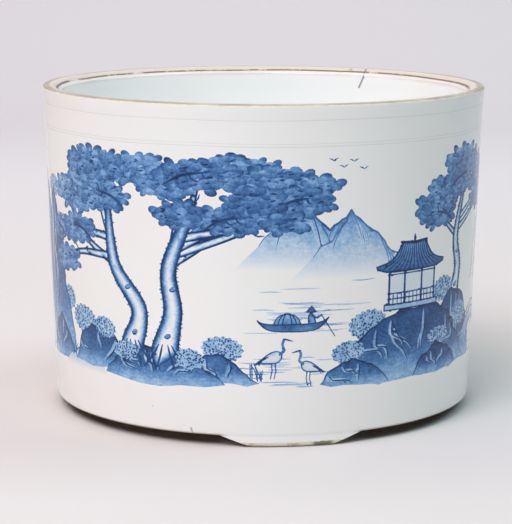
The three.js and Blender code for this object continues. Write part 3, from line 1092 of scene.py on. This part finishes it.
def wall_object(painting):
    """The whole wall: the band's triangles, then the turned rows' faces, as one mesh."""
    corners, triangles = unrolled_triangles(painting)
    triangles, pigment = lay_pigment(painting, corners, triangles)
    angles, rows = ring_points()
    band_spots, band_normals = wall_points(corners)
    ring_spots, ring_normals, along = turned_points(angles, rows)
    same = seam_joined(corners)
    rings = len(corners) + np.arange(len(rows) * COLUMNS).reshape(len(rows), COLUMNS)
    top, bottom = (border_row(corners, same, level) for level in (BAND_HIGH, BAND_LOW))
    loops = np.concatenate((top[None], rings, bottom[None]))
    lower, upper = loops[:-1], loops[1:]
    quads = np.stack((lower, np.roll(lower, -1, 1), np.roll(upper, -1, 1), upper), -1).reshape(-1, 4)
    faces = same[triangles].tolist() + quads.tolist()
    sides = np.array([3] * len(triangles) + [4] * len(quads))
    quad_round, quad_along = turned_corners(along)
    corner_round = np.concatenate((corners[triangles][..., 0].ravel(), quad_round))
    corner_along = np.concatenate((corners[triangles][..., 1].ravel(), quad_along))

    mesh = bpy.data.meshes.new("wall")
    spots = np.concatenate((band_spots, ring_spots))
    used = np.unique(np.concatenate((same[triangles].ravel(), quads.ravel())))
    renumbered = np.zeros(len(spots), int)
    renumbered[used] = np.arange(len(used))
    mesh.from_pydata((spots[used] * MM).tolist(), [], [renumbered[face].tolist() for face in faces])
    mesh.update()

    stored = {}
    for name in PIGMENTS:
        stored[name] = np.full(len(corner_round), FAR_FROM_INK if name == "ink" else 0.0)
        stored[name][: pigment[name].size] = pigment[name].ravel()
    stored["section"] = corner_along
    stored["open_edge"] = beside_foot(corner_round / UNROLLED_RADIUS)
    for name, values in stored.items():
        mesh.attributes.new(name, "FLOAT", "CORNER").data.foreach_set("value", values)
    place = export_map(corner_round, corner_along, sides)
    mesh.uv_layers.new(name="OFBake").data.foreach_set("uv", place.ravel())
    mesh.polygons.foreach_set("use_smooth", [True] * len(mesh.polygons))
    normals = np.concatenate((band_normals, ring_normals))[used]
    mesh.normals_split_custom_set_from_vertices(normals.tolist())
    mesh.validate()
    wall = bpy.data.objects.new("brush_pot_wall", mesh)
    bpy.context.collection.objects.link(wall)
    return wall


wall = wall_object(landscape)


# The glaze is a clear, faintly uneven porcelain glaze over white clay. The cobalt shows through it, the
# dressed lip has worn to a pale brown, and the kiln has left a few dark specks.
class Value:
    """A socket that answers to arithmetic by adding the Math node for it."""

    def __init__(self, finish, socket):
        self.finish = finish
        self.socket = socket

    def maths(self, operation, *values, clamp=False):
        settings = {"operation": operation, "use_clamp": clamp}
        return self.finish.node("Math", settings, dict(enumerate((self, *values))))

    def __add__(self, other):
        return self.maths("ADD", other)

    def __sub__(self, other):
        return self.maths("SUBTRACT", other)

    def __rsub__(self, other):
        return self.finish.node("Math", {"operation": "SUBTRACT"}, {0: other, 1: self})

    def __mul__(self, other):
        return self.maths("MULTIPLY", other)

    def __truediv__(self, other):
        return self.maths("DIVIDE", other)

    __radd__ = __add__
    __rmul__ = __mul__

    def steps(self, start, end):
        """0 at the value start and 1 at the value end, easing between them."""
        settings = {"interpolation_type": "SMOOTHSTEP"}
        if start > end:
            return 1 - self.steps(end, start)
        return self.finish.node("MapRange", settings, {"Value": self, "From Min": start, "From Max": end})


def linear(colour):
    """An (r, g, b) colour out of 255, as the renderer's linear values with an alpha of 1."""
    shares = np.array(colour) / 255
    levels = np.where(shares <= 0.04045, shares / 12.92, ((shares + 0.055) / 1.055) ** 2.4)
    return (*levels.tolist(), 1.0)


class Finish:
    """A material whose nodes all come from node()."""

    def __init__(self, name, **constants):
        self.material = bpy.data.materials.new(name)
        self.material.use_nodes = True
        self.tree = self.material.node_tree
        self.shader = self.tree.nodes["Principled BSDF"]
        for socket, value in constants.items():
            self.shader.inputs[socket.replace("_", " ")].default_value = value
        self.place = self.node("TexCoord", {}, {}, "Object")

    def node(self, kind, settings, sockets, output=0):
        made = self.tree.nodes.new("ShaderNode" + kind)
        for name, value in settings.items():
            if name == "stops":
                self.set_stops(made.color_ramp, value)
            else:
                setattr(made, name, value)
        for name, value in sockets.items():
            self.feed(made.inputs[name], value)
        return Value(self, made.outputs[output])

    def feed(self, socket, value):
        if isinstance(value, Value):
            self.tree.links.new(value.socket, socket)
        else:
            socket.default_value = value

    def set_stops(self, ramp, stops):
        while len(ramp.elements) < len(stops):
            ramp.elements.new(0.5)
        for element, (place, colour) in zip(ramp.elements, stops):
            element.position = place
            element.color = colour

    def output(self, **sockets):
        for name, value in sockets.items():
            self.feed(self.shader.inputs[name.replace("_", " ")], value)

    def blend(self, start, end, share, mode="MIX"):
        """Colour start turning to colour end as share goes from 0 to 1."""
        settings = {"data_type": "RGBA", "blend_type": mode}
        return self.node("Mix", settings, {0: share, 6: start, 7: end}, 2)

    def noise(self, grain, detail=2.0, roughness=0.5, stretch=None):
        """Soft noise about 0.5, whose blotches are about grain millimetres across."""
        place = self.place
        if stretch:
            place = self.node("Mapping", {}, {"Vector": place, "Scale": stretch})
        sockets = {"Vector": place, "Scale": 1 / (grain * MM), "Detail": detail, "Roughness": roughness}
        return self.node("TexNoise", {"noise_dimensions": "3D"}, sockets)

    def cells(self, grain, output="Distance"):
        """Scattered points about grain millimetres apart: the distance to one, or its own colour."""
        return self.node("TexVoronoi", {}, {"Vector": self.place, "Scale": 1 / (grain * MM)}, output)

    def stored(self, name):
        return self.node("Attribute", {"attribute_name": name}, {}, "Fac")

    def part(self, vector, axis):
        return self.node("SeparateXYZ", {}, {0: vector}, axis)

    def line_gap(self, start, end):
        """Millimetres from the straight line between two points of the object."""
        start, end = Vector(start) * MM, Vector(end) * MM
        run = end - start
        way = self.node("VectorMath", {"operation": "SUBTRACT"}, {0: self.place, 1: start})
        sockets = {0: way, 1: run / run.length_squared}
        share = self.node("VectorMath", {"operation": "DOT_PRODUCT"}, sockets, "Value")
        share = share.maths("ADD", 0.0, clamp=True)
        foot = self.node("VectorMath", {"operation": "SCALE"}, {0: run, "Scale": share})
        return self.node("VectorMath", {"operation": "DISTANCE"}, {0: way, 1: foot}, "Value") / MM


GLAZE = (246, 243, 241)
# Tones of cobalt and their colours, from bare glaze to the darkest line
COBALT = (
    (0.00, GLAZE),
    (0.15, (206, 220, 236)),
    (0.35, (155, 190, 224)),
    (0.50, (110, 156, 206)),
    (0.65, (72, 119, 174)),
    (0.80, (44, 88, 144)),
    (1.00, (12, 42, 86)),
)
glaze_linear = linear(GLAZE)
COBALT_FILTER = [
    (tone, tuple(part / bare for part, bare in zip(linear(colour), glaze_linear))) for tone, colour in COBALT
]
# Painted light: the inside is the same glaze as the outside, given its own colour to set how bright the
# inside looks
INSIDE_GLAZE_PAINTED_LIGHT = linear((243, 242, 241))
# Painted shade: how far the glaze is greyed towards the top of the wall
TOP_PAINTED_SHADE = (0.955, 0.962, 0.965, 1.0)
GREENISH = (0.965, 1.0, 0.985, 1.0)
PINKISH = (1.0, 0.975, 0.98, 1.0)
GROOVE_LINE = linear((206, 208, 206))
LIP_CREAM = linear((228, 221, 207))
LIP_PALE = linear((200, 189, 180))
LIP_BROWN = linear((156, 145, 134))
LIP_DARK = linear((100, 85, 75))
RUBBED_GLAZE = linear((212, 202, 196))
FRIT = linear((150, 132, 116))
SPECK = linear((105, 92, 82))
CRACK = linear((112, 108, 112))
CHIP = linear((150, 134, 120))
EDGE_LINE = linear((204, 194, 180))
# Painted shade: the bare clay's colours, the flame-browned ones too, are darker than the clay, to deepen the
# shade beneath the pot
CLAY_WITH_PAINTED_SHADE = linear((172, 160, 146))
BURNT_CLAY = linear((132, 112, 94))
CLAY_GRIT = linear((112, 88, 68))

# The engraved lines: millimetres below the rim, and how deep each is cut
ENGRAVED_LINES = ((17.1, 0.5), (15.9, 0.3), (6.6, 0.4))

# The lip's bands, in millimetres in from its outer edge: where each eases in, and where it eases out
LIP_IN, LIP_OUT = (0.0, 0.3), (8.6, 7.8)
BROWN_IN, BROWN_OUT = (0.5, 1.0), (4.4, 3.2)
PALE_IN = (1.6, 3.0)
RUBBED_IN, RUBBED_OUT = (7.4, 7.9), (11.4, 9.0)
DARK_LINE = 7.6

# Marks of age, each along points in millimetres: a crack down inside the back of the lip, and a chip at
# the lower edge
CRACK_LINE = ((49.3, 78.3, 140.6), (48.0, 74.4, 137.4), (45.8, 75.2, 132.5))
CHIP_LINE = ((-29.0, -87.5, 4.8), (-29.4, -87.6, 6.6))


def cobalt(finish):
    """How much cobalt lies at each point, from 0 to 1: washes, dots and lines, all a little uneven."""
    fine = finish.noise(1.1, 2.0)
    broad = finish.noise(6.0, 2.0)
    flow = finish.noise(2.6, 3.0, stretch=(1.0, 1.0, 2.4))
    wash = finish.stored("tone")
    body = wash.steps(0.03, 0.3)
    wash = wash + body * ((fine - 0.5) * 0.34 + (broad - 0.5) * 0.3 + (flow - 0.5) * 0.3)
    dot = (finish.cells(0.95) + (fine - 0.5) * 0.3).steps(0.5, 0.36)
    wash = wash + finish.stored("dotted").steps(0.4, 0.6) * dot * 0.5
    edge = finish.stored("ink") + (fine - 0.5) * 0.22 + (broad - 0.5) * 0.1
    line = edge.steps(0.14, -0.12)
    darkness = finish.stored("ink_tone") + (broad - 0.5) * 0.3
    return wash + line * (darkness - wash).maths("MAXIMUM", 0.0)


def glaze_colour(finish, white):
    """A white under the glaze, greyed towards the top as painted shade, which drifts a little towards green
    and pink from place to place."""
    # Painted shade: the white turns greyer towards the top
    upper_shade = (finish.part(finish.place, 2) / MM).steps(10, 125)
    white = finish.blend(white, TOP_PAINTED_SHADE, upper_shade, "MULTIPLY")
    cloud = finish.noise(46, 2.0)
    drift = finish.noise(80, 1.0, stretch=(1.0, 1.0, 1.6))
    colour = finish.blend(white, GREENISH, cloud.steps(0.42, 0.68) * 0.7, "MULTIPLY")
    return finish.blend(colour, PINKISH, drift.steps(0.45, 0.7) * 0.7, "MULTIPLY")


def clay_colour_with_painted_shade(finish):
    """Bare porcelain clay, browned where the flame reached it and darkened as painted shade beneath the pot,
    and the height of its grain.
    """
    flash = finish.noise(28, 3.0, 0.6)
    grain = finish.noise(0.7, 3.0, 0.7)
    colour = finish.blend(CLAY_WITH_PAINTED_SHADE, BURNT_CLAY, flash.steps(0.45, 0.75) * 0.8)
    return finish.blend(colour, CLAY_GRIT, (grain + (flash - 0.5) * 0.4).steps(0.66, 0.76) * 0.6), grain


def porcelain(name, painted):
    """The glaze over the clay, with the painting and the lip where it is the wall's."""
    finish = Finish(name, IOR=1.5, Specular_IOR_Level=0.3)
    # The inside's glaze colour is painted light, set apart from the outside's
    white = INSIDE_GLAZE_PAINTED_LIGHT
    if painted:
        inside = finish.stored("section").steps(LIP_START, INSIDE_START)
        white = finish.blend(glaze_linear, INSIDE_GLAZE_PAINTED_LIGHT, inside)
    colour = glaze_colour(finish, white)
    height = finish.noise(9, 2.0) * 0.1
    roughness = 0.16 + (finish.noise(30, 2.0) - 0.5) * 0.1
    if painted:
        pigment = finish.node("ValToRGB", {"stops": COBALT_FILTER}, {0: cobalt(finish)})
        colour = finish.blend(colour, pigment, 1.0, "MULTIPLY")
        colour, height, roughness = turned_marks(finish, colour, height, roughness)
    chance = finish.part(finish.cells(15.0, "Color"), 0)
    spot = finish.cells(15.0).steps(0.024, 0.012) * chance.steps(0.68, 0.7)
    colour = finish.blend(colour, SPECK, spot * 0.7)
    bump = finish.node("Bump", {}, {"Strength": 0.35, "Distance": 0.0003, "Height": height})
    finish.output(Base_Color=colour, Roughness=roughness, Normal=bump)
    return finish.material


def dressed_lip(finish, section, worn, patch, colour):
    """The lip over a colour, and how far it covers it: a thin cream edge, a brown band where the glaze was
    dressed off, a paler middle, and a broken dark line just before the inside's glaze begins."""
    along = section - LIP_START + (worn - 0.5) * 0.6
    sway = (finish.noise(30, 1.0) - 0.5) * 3.0
    lip = along.steps(*LIP_IN) * (along + sway * 0.3).steps(*LIP_OUT)
    brown = along.steps(*BROWN_IN) * (along + sway * 0.4).steps(*BROWN_OUT)
    brown = brown * (0.9 + (patch - 0.5) * 1.2).maths("ADD", 0.0, clamp=True)
    dark = (along + sway * 0.4 - DARK_LINE).maths("ABSOLUTE").steps(1.0, 0.3)
    dark = dark * (patch + (worn - 0.5) * 0.6).steps(0.3, 0.5)
    dress = finish.blend(LIP_CREAM, LIP_PALE, along.steps(*PALE_IN))
    dress = finish.blend(dress, LIP_BROWN, brown)
    dress = finish.blend(dress, LIP_DARK, dark * 0.9)
    dress = finish.blend(dress, FRIT, (worn + (patch - 0.5) * 0.4).steps(0.66, 0.76) * 0.6)
    rubbed = (along + sway * 0.3).steps(*RUBBED_IN) * (along + sway * 0.3).steps(*RUBBED_OUT)
    colour = finish.blend(colour, RUBBED_GLAZE, rubbed * 0.85)
    return finish.blend(colour, dress, lip), lip


def turned_marks(finish, colour, height, roughness):
    """What goes round the wall, from the engraved lines to the trimmed lower edge, and its marks of age."""
    up = finish.part(finish.place, 2) / MM
    section = finish.stored("section")
    worn = finish.noise(3.2, 3.0, 0.6)
    patch = finish.noise(19, 2.0)
    outside = section.steps(LIP_START, LIP_START - 0.5)
    for below, depth in ENGRAVED_LINES:
        wander = (finish.noise(40, 1.0) - 0.5) * 0.8
        groove = (up + wander - (WALL_TOP - below)).maths("ABSOLUTE").steps(0.32, 0.05) * outside
        colour = finish.blend(colour, GROOVE_LINE, groove * 0.35)
        height = height - groove * depth
    colour, lip = dressed_lip(finish, section, worn, patch, colour)

    edge = (up + (worn - 0.5) * 0.5 - WALL_FOOT).steps(0.9, 0.4) * finish.stored("open_edge")
    colour = finish.blend(colour, EDGE_LINE, edge)
    # The wall's underside is bare clay, darkened as painted shade
    clay, grain = clay_colour_with_painted_shade(finish)
    bare = section.steps(UNDERSIDE_START - 1, UNDERSIDE_START)
    bare = bare * section.steps(UNDERSIDE_END, UNDERSIDE_END - 0.5)
    colour = finish.blend(colour, clay, bare)
    crack = finish.line_gap(*CRACK_LINE[:2]).maths("MINIMUM", finish.line_gap(*CRACK_LINE[1:]))
    crack = crack + (worn - 0.5) * 0.4
    colour = finish.blend(colour, CRACK, crack.steps(0.75, 0.3) * 0.8)
    chip = finish.line_gap(*CHIP_LINE) + (worn - 0.5) * 2.4
    colour = finish.blend(colour, CHIP, chip.steps(0.7, 0.1) * 0.7)
    roughness = roughness + lip * 0.4 + edge * 0.3 + bare * 0.45
    height = height + lip * (worn - 0.5) * 0.5 + bare * grain * 0.5
    return colour, height, roughness


wall.data.materials.append(porcelain("painted_porcelain", True))
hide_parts("wall")
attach(wall, "root")

# The floor is a thick disc luted into the wall's lower end. Its top is glazed and sweeps up to the wall
# in a hollow corner; its underside is bare clay but for a shallow glazed recess in the middle.
FLOOR_TOP = WALL_FOOT + 9.0
FLOOR_CORNER = SEAT_TOP - FLOOR_TOP
RECESS_RADIUS = 36.0
RECESS_DEPTH = 1.5
RECESS_EDGE = 0.8
DISC_COLUMNS = 128
DISC_RINGS = 36
DISC_SWELL = 0.1
GLAZED, BARE = 0, 1


def floor_profile():
    """The disc's section from the middle of its underside, out and up and back to the middle on top."""
    under = WALL_FOOT
    recess = arc(RECESS_RADIUS, under + RECESS_EDGE, RECESS_EDGE, 180, 270, 4)
    ceiling = [(share * (RECESS_RADIUS - RECESS_EDGE), under + RECESS_DEPTH) for share in (0.04, 0.35, 0.7)]
    corner = arc(SEAT_RADIUS - FLOOR_CORNER, SEAT_TOP, FLOOR_CORNER, 0, -90, 9)
    rings = np.linspace(SEAT_RADIUS - FLOOR_CORNER, 2.0, DISC_RINGS)[1:]
    swell = DISC_SWELL * np.sin(rings / THROWING_RING_GAP * math.tau) * np.linspace(0, 1, len(rings))
    top = np.stack((rings, FLOOR_TOP + swell), 1)
    rim = [(RECESS_RADIUS - RECESS_EDGE, under + RECESS_DEPTH), *recess]
    bare = [(RECESS_RADIUS + 6, under), (SEAT_RADIUS - 10, under), (SEAT_RADIUS, under)]
    return np.array([*ceiling, *rim, *bare, *corner, *top])


def turned_mesh(name, profile, columns):
    """A closed body turned about the pot's axis from a section that starts and ends near the axis."""
    angles = math.tau * np.arange(columns) / columns
    around = np.stack((np.cos(angles), np.sin(angles)), 1)
    spots = [(0, 0, profile[0][1])]
    for radius, up in profile:
        spots += [(radius * across, radius * back, up) for across, back in around]
    spots.append((0, 0, profile[-1][1]))
    faces = []
    for column in range(columns):
        after = (column + 1) % columns
        faces.append((0, 1 + after, 1 + column))
        for row in range(len(profile) - 1):
            low, high = 1 + row * columns, 1 + (row + 1) * columns
            faces.append((low + column, low + after, high + after, high + column))
        last = 1 + (len(profile) - 1) * columns
        faces.append((last + column, last + after, len(spots) - 1))
    mesh = bpy.data.meshes.new(name)
    mesh.from_pydata([[part * MM for part in spot] for spot in spots], [], faces)
    mesh.polygons.foreach_set("use_smooth", [True] * len(mesh.polygons))
    mesh.update()
    turned = bpy.data.objects.new(name, mesh)
    bpy.context.collection.objects.link(turned)
    return turned


def biscuit(name):
    """The bare clay of the disc's underside, darkened as painted shade."""
    finish = Finish(name, IOR=1.45, Specular_IOR_Level=0.3)
    colour, grain = clay_colour_with_painted_shade(finish)
    bump = finish.node("Bump", {}, {"Strength": 0.5, "Distance": 0.0002, "Height": grain})
    finish.output(Base_Color=colour, Roughness=0.62 + (grain - 0.5) * 0.2, Normal=bump)
    return finish.material


floor_disc = turned_mesh("brush_pot_floor", floor_profile(), DISC_COLUMNS)
floor_disc.data.materials.append(porcelain("inside_glaze", False))
floor_disc.data.materials.append(biscuit("bare_clay"))
for face in floor_disc.data.polygons:
    out = face.center.xy.length / MM
    beneath = face.normal.z < -0.2 and out > RECESS_RADIUS - 0.3
    against_wall = out > SEAT_RADIUS - 0.1
    face.material_index = BARE if beneath or against_wall else GLAZED
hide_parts("floor_disc")
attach(floor_disc, "root")

# Three low bracket feet stand evenly round the lower edge, glazed down to a bare standing edge. Each is
# one bar of clay bent to the wall's curve, longer at the wall than at the table.
FOOT_HEIGHT = WALL_FOOT
FOOT_LENGTH_AT_FLOOR = 32.5
FOOT_LENGTH_AT_WALL = 2 * FOOT_HALF_AT_WALL
FOOT_THICKNESS = 12.0
FOOT_BEVEL = 1.0
BARE_EDGE = 2.1


def foot_tree():
    """Geometry Nodes that bend a plain bar into a bracket foot, with its sizes as inputs in metres."""
    tree = bpy.data.node_groups.new("bracket_foot", "GeometryNodeTree")
    tree.interface.new_socket("Geometry", in_out="OUTPUT", socket_type="NodeSocketGeometry")
    sockets = {}
    for name in ("Radius", "Height", "Thickness", "Length at floor", "Length at wall", "Bevel", "Turn"):
        made = tree.interface.new_socket(name, in_out="INPUT", socket_type="NodeSocketFloat")
        sockets[name] = made.identifier
    made = tree.interface.new_socket("Finish", in_out="INPUT", socket_type="NodeSocketMaterial")
    sockets["Finish"] = made.identifier

    def node(kind, settings=None, inputs=None, output=0):
        made = tree.nodes.new(kind)
        for name, value in (settings or {}).items():
            setattr(made, name, value)
        for name, value in (inputs or {}).items():
            if isinstance(value, bpy.types.NodeSocket):
                tree.links.new(value, made.inputs[name])
            else:
                made.inputs[name].default_value = value
        return made.outputs[output]

    def maths(operation, *values):
        return node("ShaderNodeMath", {"operation": operation}, dict(enumerate(values)))

    given = tree.nodes.new("NodeGroupInput").outputs
    cuts = {"Size": (1, 1, 1), "Vertices X": 49, "Vertices Y": 9, "Vertices Z": 9}
    bar = node("GeometryNodeMeshCube", {}, cuts)
    position = node("GeometryNodeInputPosition")
    parts = tree.nodes.new("ShaderNodeSeparateXYZ")
    tree.links.new(position, parts.inputs[0])
    along, inward, level = parts.outputs
    level = maths("ADD", level, 0.5)
    depth = maths("ADD", inward, 0.5)
    widening = maths("SUBTRACT", given["Length at wall"], given["Length at floor"])
    length = maths("ADD", given["Length at floor"], maths("MULTIPLY", level, widening))
    up = maths("MULTIPLY", level, given["Height"])
    angle = maths("ADD", given["Turn"], maths("DIVIDE", maths("MULTIPLY", along, length), given["Radius"]))
    cut = maths("MAXIMUM", 0.0, maths("SUBTRACT", given["Bevel"], up))
    room = maths("SUBTRACT", given["Thickness"], cut)
    radius = maths("SUBTRACT", maths("SUBTRACT", given["Radius"], cut), maths("MULTIPLY", depth, room))
    across = maths("MULTIPLY", radius, maths("SINE", angle))
    back = maths("MULTIPLY", radius, maths("MULTIPLY", -1.0, maths("COSINE", angle)))
    place = node("ShaderNodeCombineXYZ", {}, {0: across, 1: back, 2: up})
    bent = node("GeometryNodeSetPosition", {}, {"Geometry": bar, "Position": place})
    real = node("GeometryNodeRealizeInstances", {}, {0: bent})
    finished = node("GeometryNodeSetMaterial", {}, {"Geometry": real, "Material": given["Finish"]})
    result = tree.nodes.new("NodeGroupOutput")
    tree.links.new(finished, result.inputs[0])
    return tree, sockets


STANDING_CLAY = linear((226, 220, 200))
WORN_CLAY = linear((196, 184, 158))
FOOT_BURN = linear((96, 82, 72))
CONTACT = linear((150, 126, 108))
# Where the kiln burnt the front foot's standing edge, from one point to another in millimetres
BURN_LINE = ((22.5, -89.2, 1.0), (27.0, -88.0, 1.2))


def foot_finish():
    """The wall's glaze, stopped short of a standing edge that the kiln has browned in places."""
    finish = Finish("foot_glaze", IOR=1.5, Specular_IOR_Level=0.3)
    up = finish.part(finish.place, 2) / MM
    worn = finish.noise(2.4, 3.0, 0.6)
    patch = finish.noise(13, 2.0)
    bare = (up + (worn - 0.5) * 0.9 + (patch - 0.5) * 0.8).steps(BARE_EDGE + 0.2, BARE_EDGE - 0.3)
    clay = finish.blend(STANDING_CLAY, WORN_CLAY, (worn + (patch - 0.5)).steps(0.45, 0.7))
    burnt = finish.line_gap(*BURN_LINE) + (worn - 0.5) * 3.0
    clay = finish.blend(clay, FOOT_BURN, burnt.steps(2.6, 0.6) * 0.8)
    # Darker along the foot's lowest half millimetre, where it meets the table
    contact = (up + (worn - 0.5) * 0.3).steps(0.6, 0.15)
    clay = finish.blend(clay, CONTACT, contact * 0.7)
    colour = finish.blend(glaze_colour(finish, glaze_linear), clay, bare)
    grain = finish.noise(0.7, 3.0, 0.7) * bare
    bump = finish.node("Bump", {}, {"Strength": 0.4, "Distance": 0.0002, "Height": grain})
    finish.output(Base_Color=colour, Roughness=0.18 + bare * 0.42, Normal=bump)
    return finish.material


foot_nodes, foot_sockets = foot_tree()
glazed_foot = foot_finish()
for index, name in enumerate(("front_foot", "right_rear_foot", "left_rear_foot")):
    carrier = bpy.data.objects.new(name + "_carrier", bpy.data.meshes.new(name + "_carrier"))
    bpy.context.collection.objects.link(carrier)
    bend = carrier.modifiers.new("bracket", "NODES")
    bend.node_group = foot_nodes
    sizes = {
        "Radius": LOWER_EDGE_RADIUS * MM,
        "Height": FOOT_HEIGHT * MM,
        "Thickness": FOOT_THICKNESS * MM,
        "Length at floor": FOOT_LENGTH_AT_FLOOR * MM,
        "Length at wall": FOOT_LENGTH_AT_WALL * MM,
        "Bevel": FOOT_BEVEL * MM,
        "Turn": math.radians(FOOT_TURN + index * 360 / FOOT_COUNT),
        "Finish": glazed_foot,
    }
    for socket, value in sizes.items():
        bend[foot_sockets[socket]] = value
    depsgraph = bpy.context.evaluated_depsgraph_get()
    mesh = bpy.data.meshes.new_from_object(carrier.evaluated_get(depsgraph))
    bpy.data.objects.remove(carrier)
    foot = bpy.data.objects.new("brush_pot_" + name, mesh)
    bpy.context.collection.objects.link(foot)
    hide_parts(name)
    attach(foot, "root")

# The pot stands on a seamless pale sweep between large soft boxes, the strongest at the front left. It is
# seen from the front and a little above.
SWEEP_WIDTH = 5200.0
SWEEP_FRONT = -2600.0
SWEEP_BACK = 1100.0
SWEEP_BEND = 500.0
SWEEP_TOP = 1900.0
BEND_STEPS = 24
FLOOR_COLOUR = linear((204, 198, 197))
BACKDROP_COLOUR = linear((211, 206, 210))
# How far behind the pot the floor turns to the backdrop's colour, and how far off it fades from sight
BACKDROP_FADE = (150.0, 800.0)
FAR_FADE = (1500.0, 2100.0)

bend = arc(SWEEP_BACK, SWEEP_BEND, SWEEP_BEND, -90, 0, BEND_STEPS)
sweep_line = [(SWEEP_FRONT, 0.0), *bend, (SWEEP_BACK + SWEEP_BEND, SWEEP_TOP)]
sweep_spots = []
for back, up in sweep_line:
    sweep_spots += [(side * SWEEP_WIDTH / 2 * MM, back * MM, up * MM) for side in (-1, 1)]
sweep_faces = [(row, row + 1, row + 3, row + 2) for row in range(0, len(sweep_spots) - 2, 2)]
sweep_mesh = bpy.data.meshes.new("sweep")
sweep_mesh.from_pydata(sweep_spots, [], sweep_faces)
sweep_mesh.polygons.foreach_set("use_smooth", [True] * len(sweep_faces))
sweep = bpy.data.objects.new("sweep", sweep_mesh)
bpy.context.collection.objects.link(sweep)
paper = Finish("sweep_paper", Roughness=0.9, Specular_IOR_Level=0.1)
behind = paper.part(paper.place, 1) / MM
paper.output(Base_Color=paper.blend(FLOOR_COLOUR, BACKDROP_COLOUR, behind.steps(*BACKDROP_FADE)))
# Far from the pot, where the lamps don't reach, the camera sees the paper fade into the surround
away = paper.node("VectorMath", {"operation": "LENGTH"}, {0: paper.place}, "Value") / MM
seen = paper.node("LightPath", {}, {}, "Is Camera Ray")
pale = paper.node("Emission", {}, {"Color": BACKDROP_COLOUR})
lit = Value(paper, paper.shader.outputs["BSDF"])
faded = paper.node("MixShader", {}, {0: away.steps(*FAR_FADE) * seen, 1: lit, 2: pale})
paper.feed(paper.tree.nodes["Material Output"].inputs["Surface"], faded)
sweep_mesh.materials.append(paper.material)

world = bpy.data.worlds.new("studio")
world.use_nodes = True
surround = world.node_tree.nodes["Background"]
surround.inputs["Color"].default_value = BACKDROP_COLOUR
rays = world.node_tree.nodes.new("ShaderNodeLightPath")
world.node_tree.links.new(rays.outputs["Is Camera Ray"], surround.inputs["Strength"])
bpy.context.scene.world = world

# Each soft box: its name, its place and target in metres, its width, its watts and its tint
SOFT_BOXES = (
    ("key", (-0.6, -1.15, 1.45), (0, 0, 0.06), 0.9, 18.5, (0.97, 0.99, 1.0)),
    ("left", (-1.2, -0.4, 1.5), (0, 0, 0.06), 1.0, 6.2, (1.0, 0.7, 0.79)),
    ("overhead", (0.0, -0.9, 1.5), (0, 0, 0.06), 1.6, 11.7, (0.66, 0.96, 1.0)),
    ("high", (-0.3, -0.7, 1.9), (0, 0, 0.06), 0.9, 10.0, (1.0, 0.67, 0.7)),
    ("right_back", (1.3, 0.3, 1.6), (0, 0, 0.06), 1.2, 16.0, (0.72, 0.94, 1.0)),
    ("left_back", (-1.0, 0.5, 1.3), (0, 0, 0.06), 1.0, 5.8, (1.0, 1.0, 0.77)),
    ("backdrop", (0.0, 0.8, 1.7), (0, 1.6, 0.7), 1.2, 10.0, (1.0, 0.96, 0.97)),
)
for name, place, target, width, watts, tint in SOFT_BOXES:
    lamp = bpy.data.lights.new(name, "AREA")
    lamp.size = width
    lamp.energy = watts
    lamp.color = tint
    holder = bpy.data.objects.new(name, lamp)
    holder.location = place
    holder.rotation_euler = (Vector(target) - Vector(place)).to_track_quat("-Z", "Y").to_euler()
    bpy.context.collection.objects.link(holder)

# The camera's place, tilt and slight roll, in millimetres and radians, and its lens
CAMERA_PLACE = (-3.49, -917.0, 222.2)
CAMERA_TILT = 0.1741
CAMERA_ROLL = -0.003
CAMERA_LENS = 142.93
camera_data = bpy.data.cameras.new("camera")
camera_data.sensor_width = 36.0
camera_data.lens = CAMERA_LENS
camera = bpy.data.objects.new("camera", camera_data)
camera.location = Vector(CAMERA_PLACE) * MM
camera.rotation_euler = (math.pi / 2 - CAMERA_TILT, CAMERA_ROLL, 0)
bpy.context.collection.objects.link(camera)
bpy.context.scene.camera = camera
bpy.context.scene.view_settings.view_transform = "Standard"
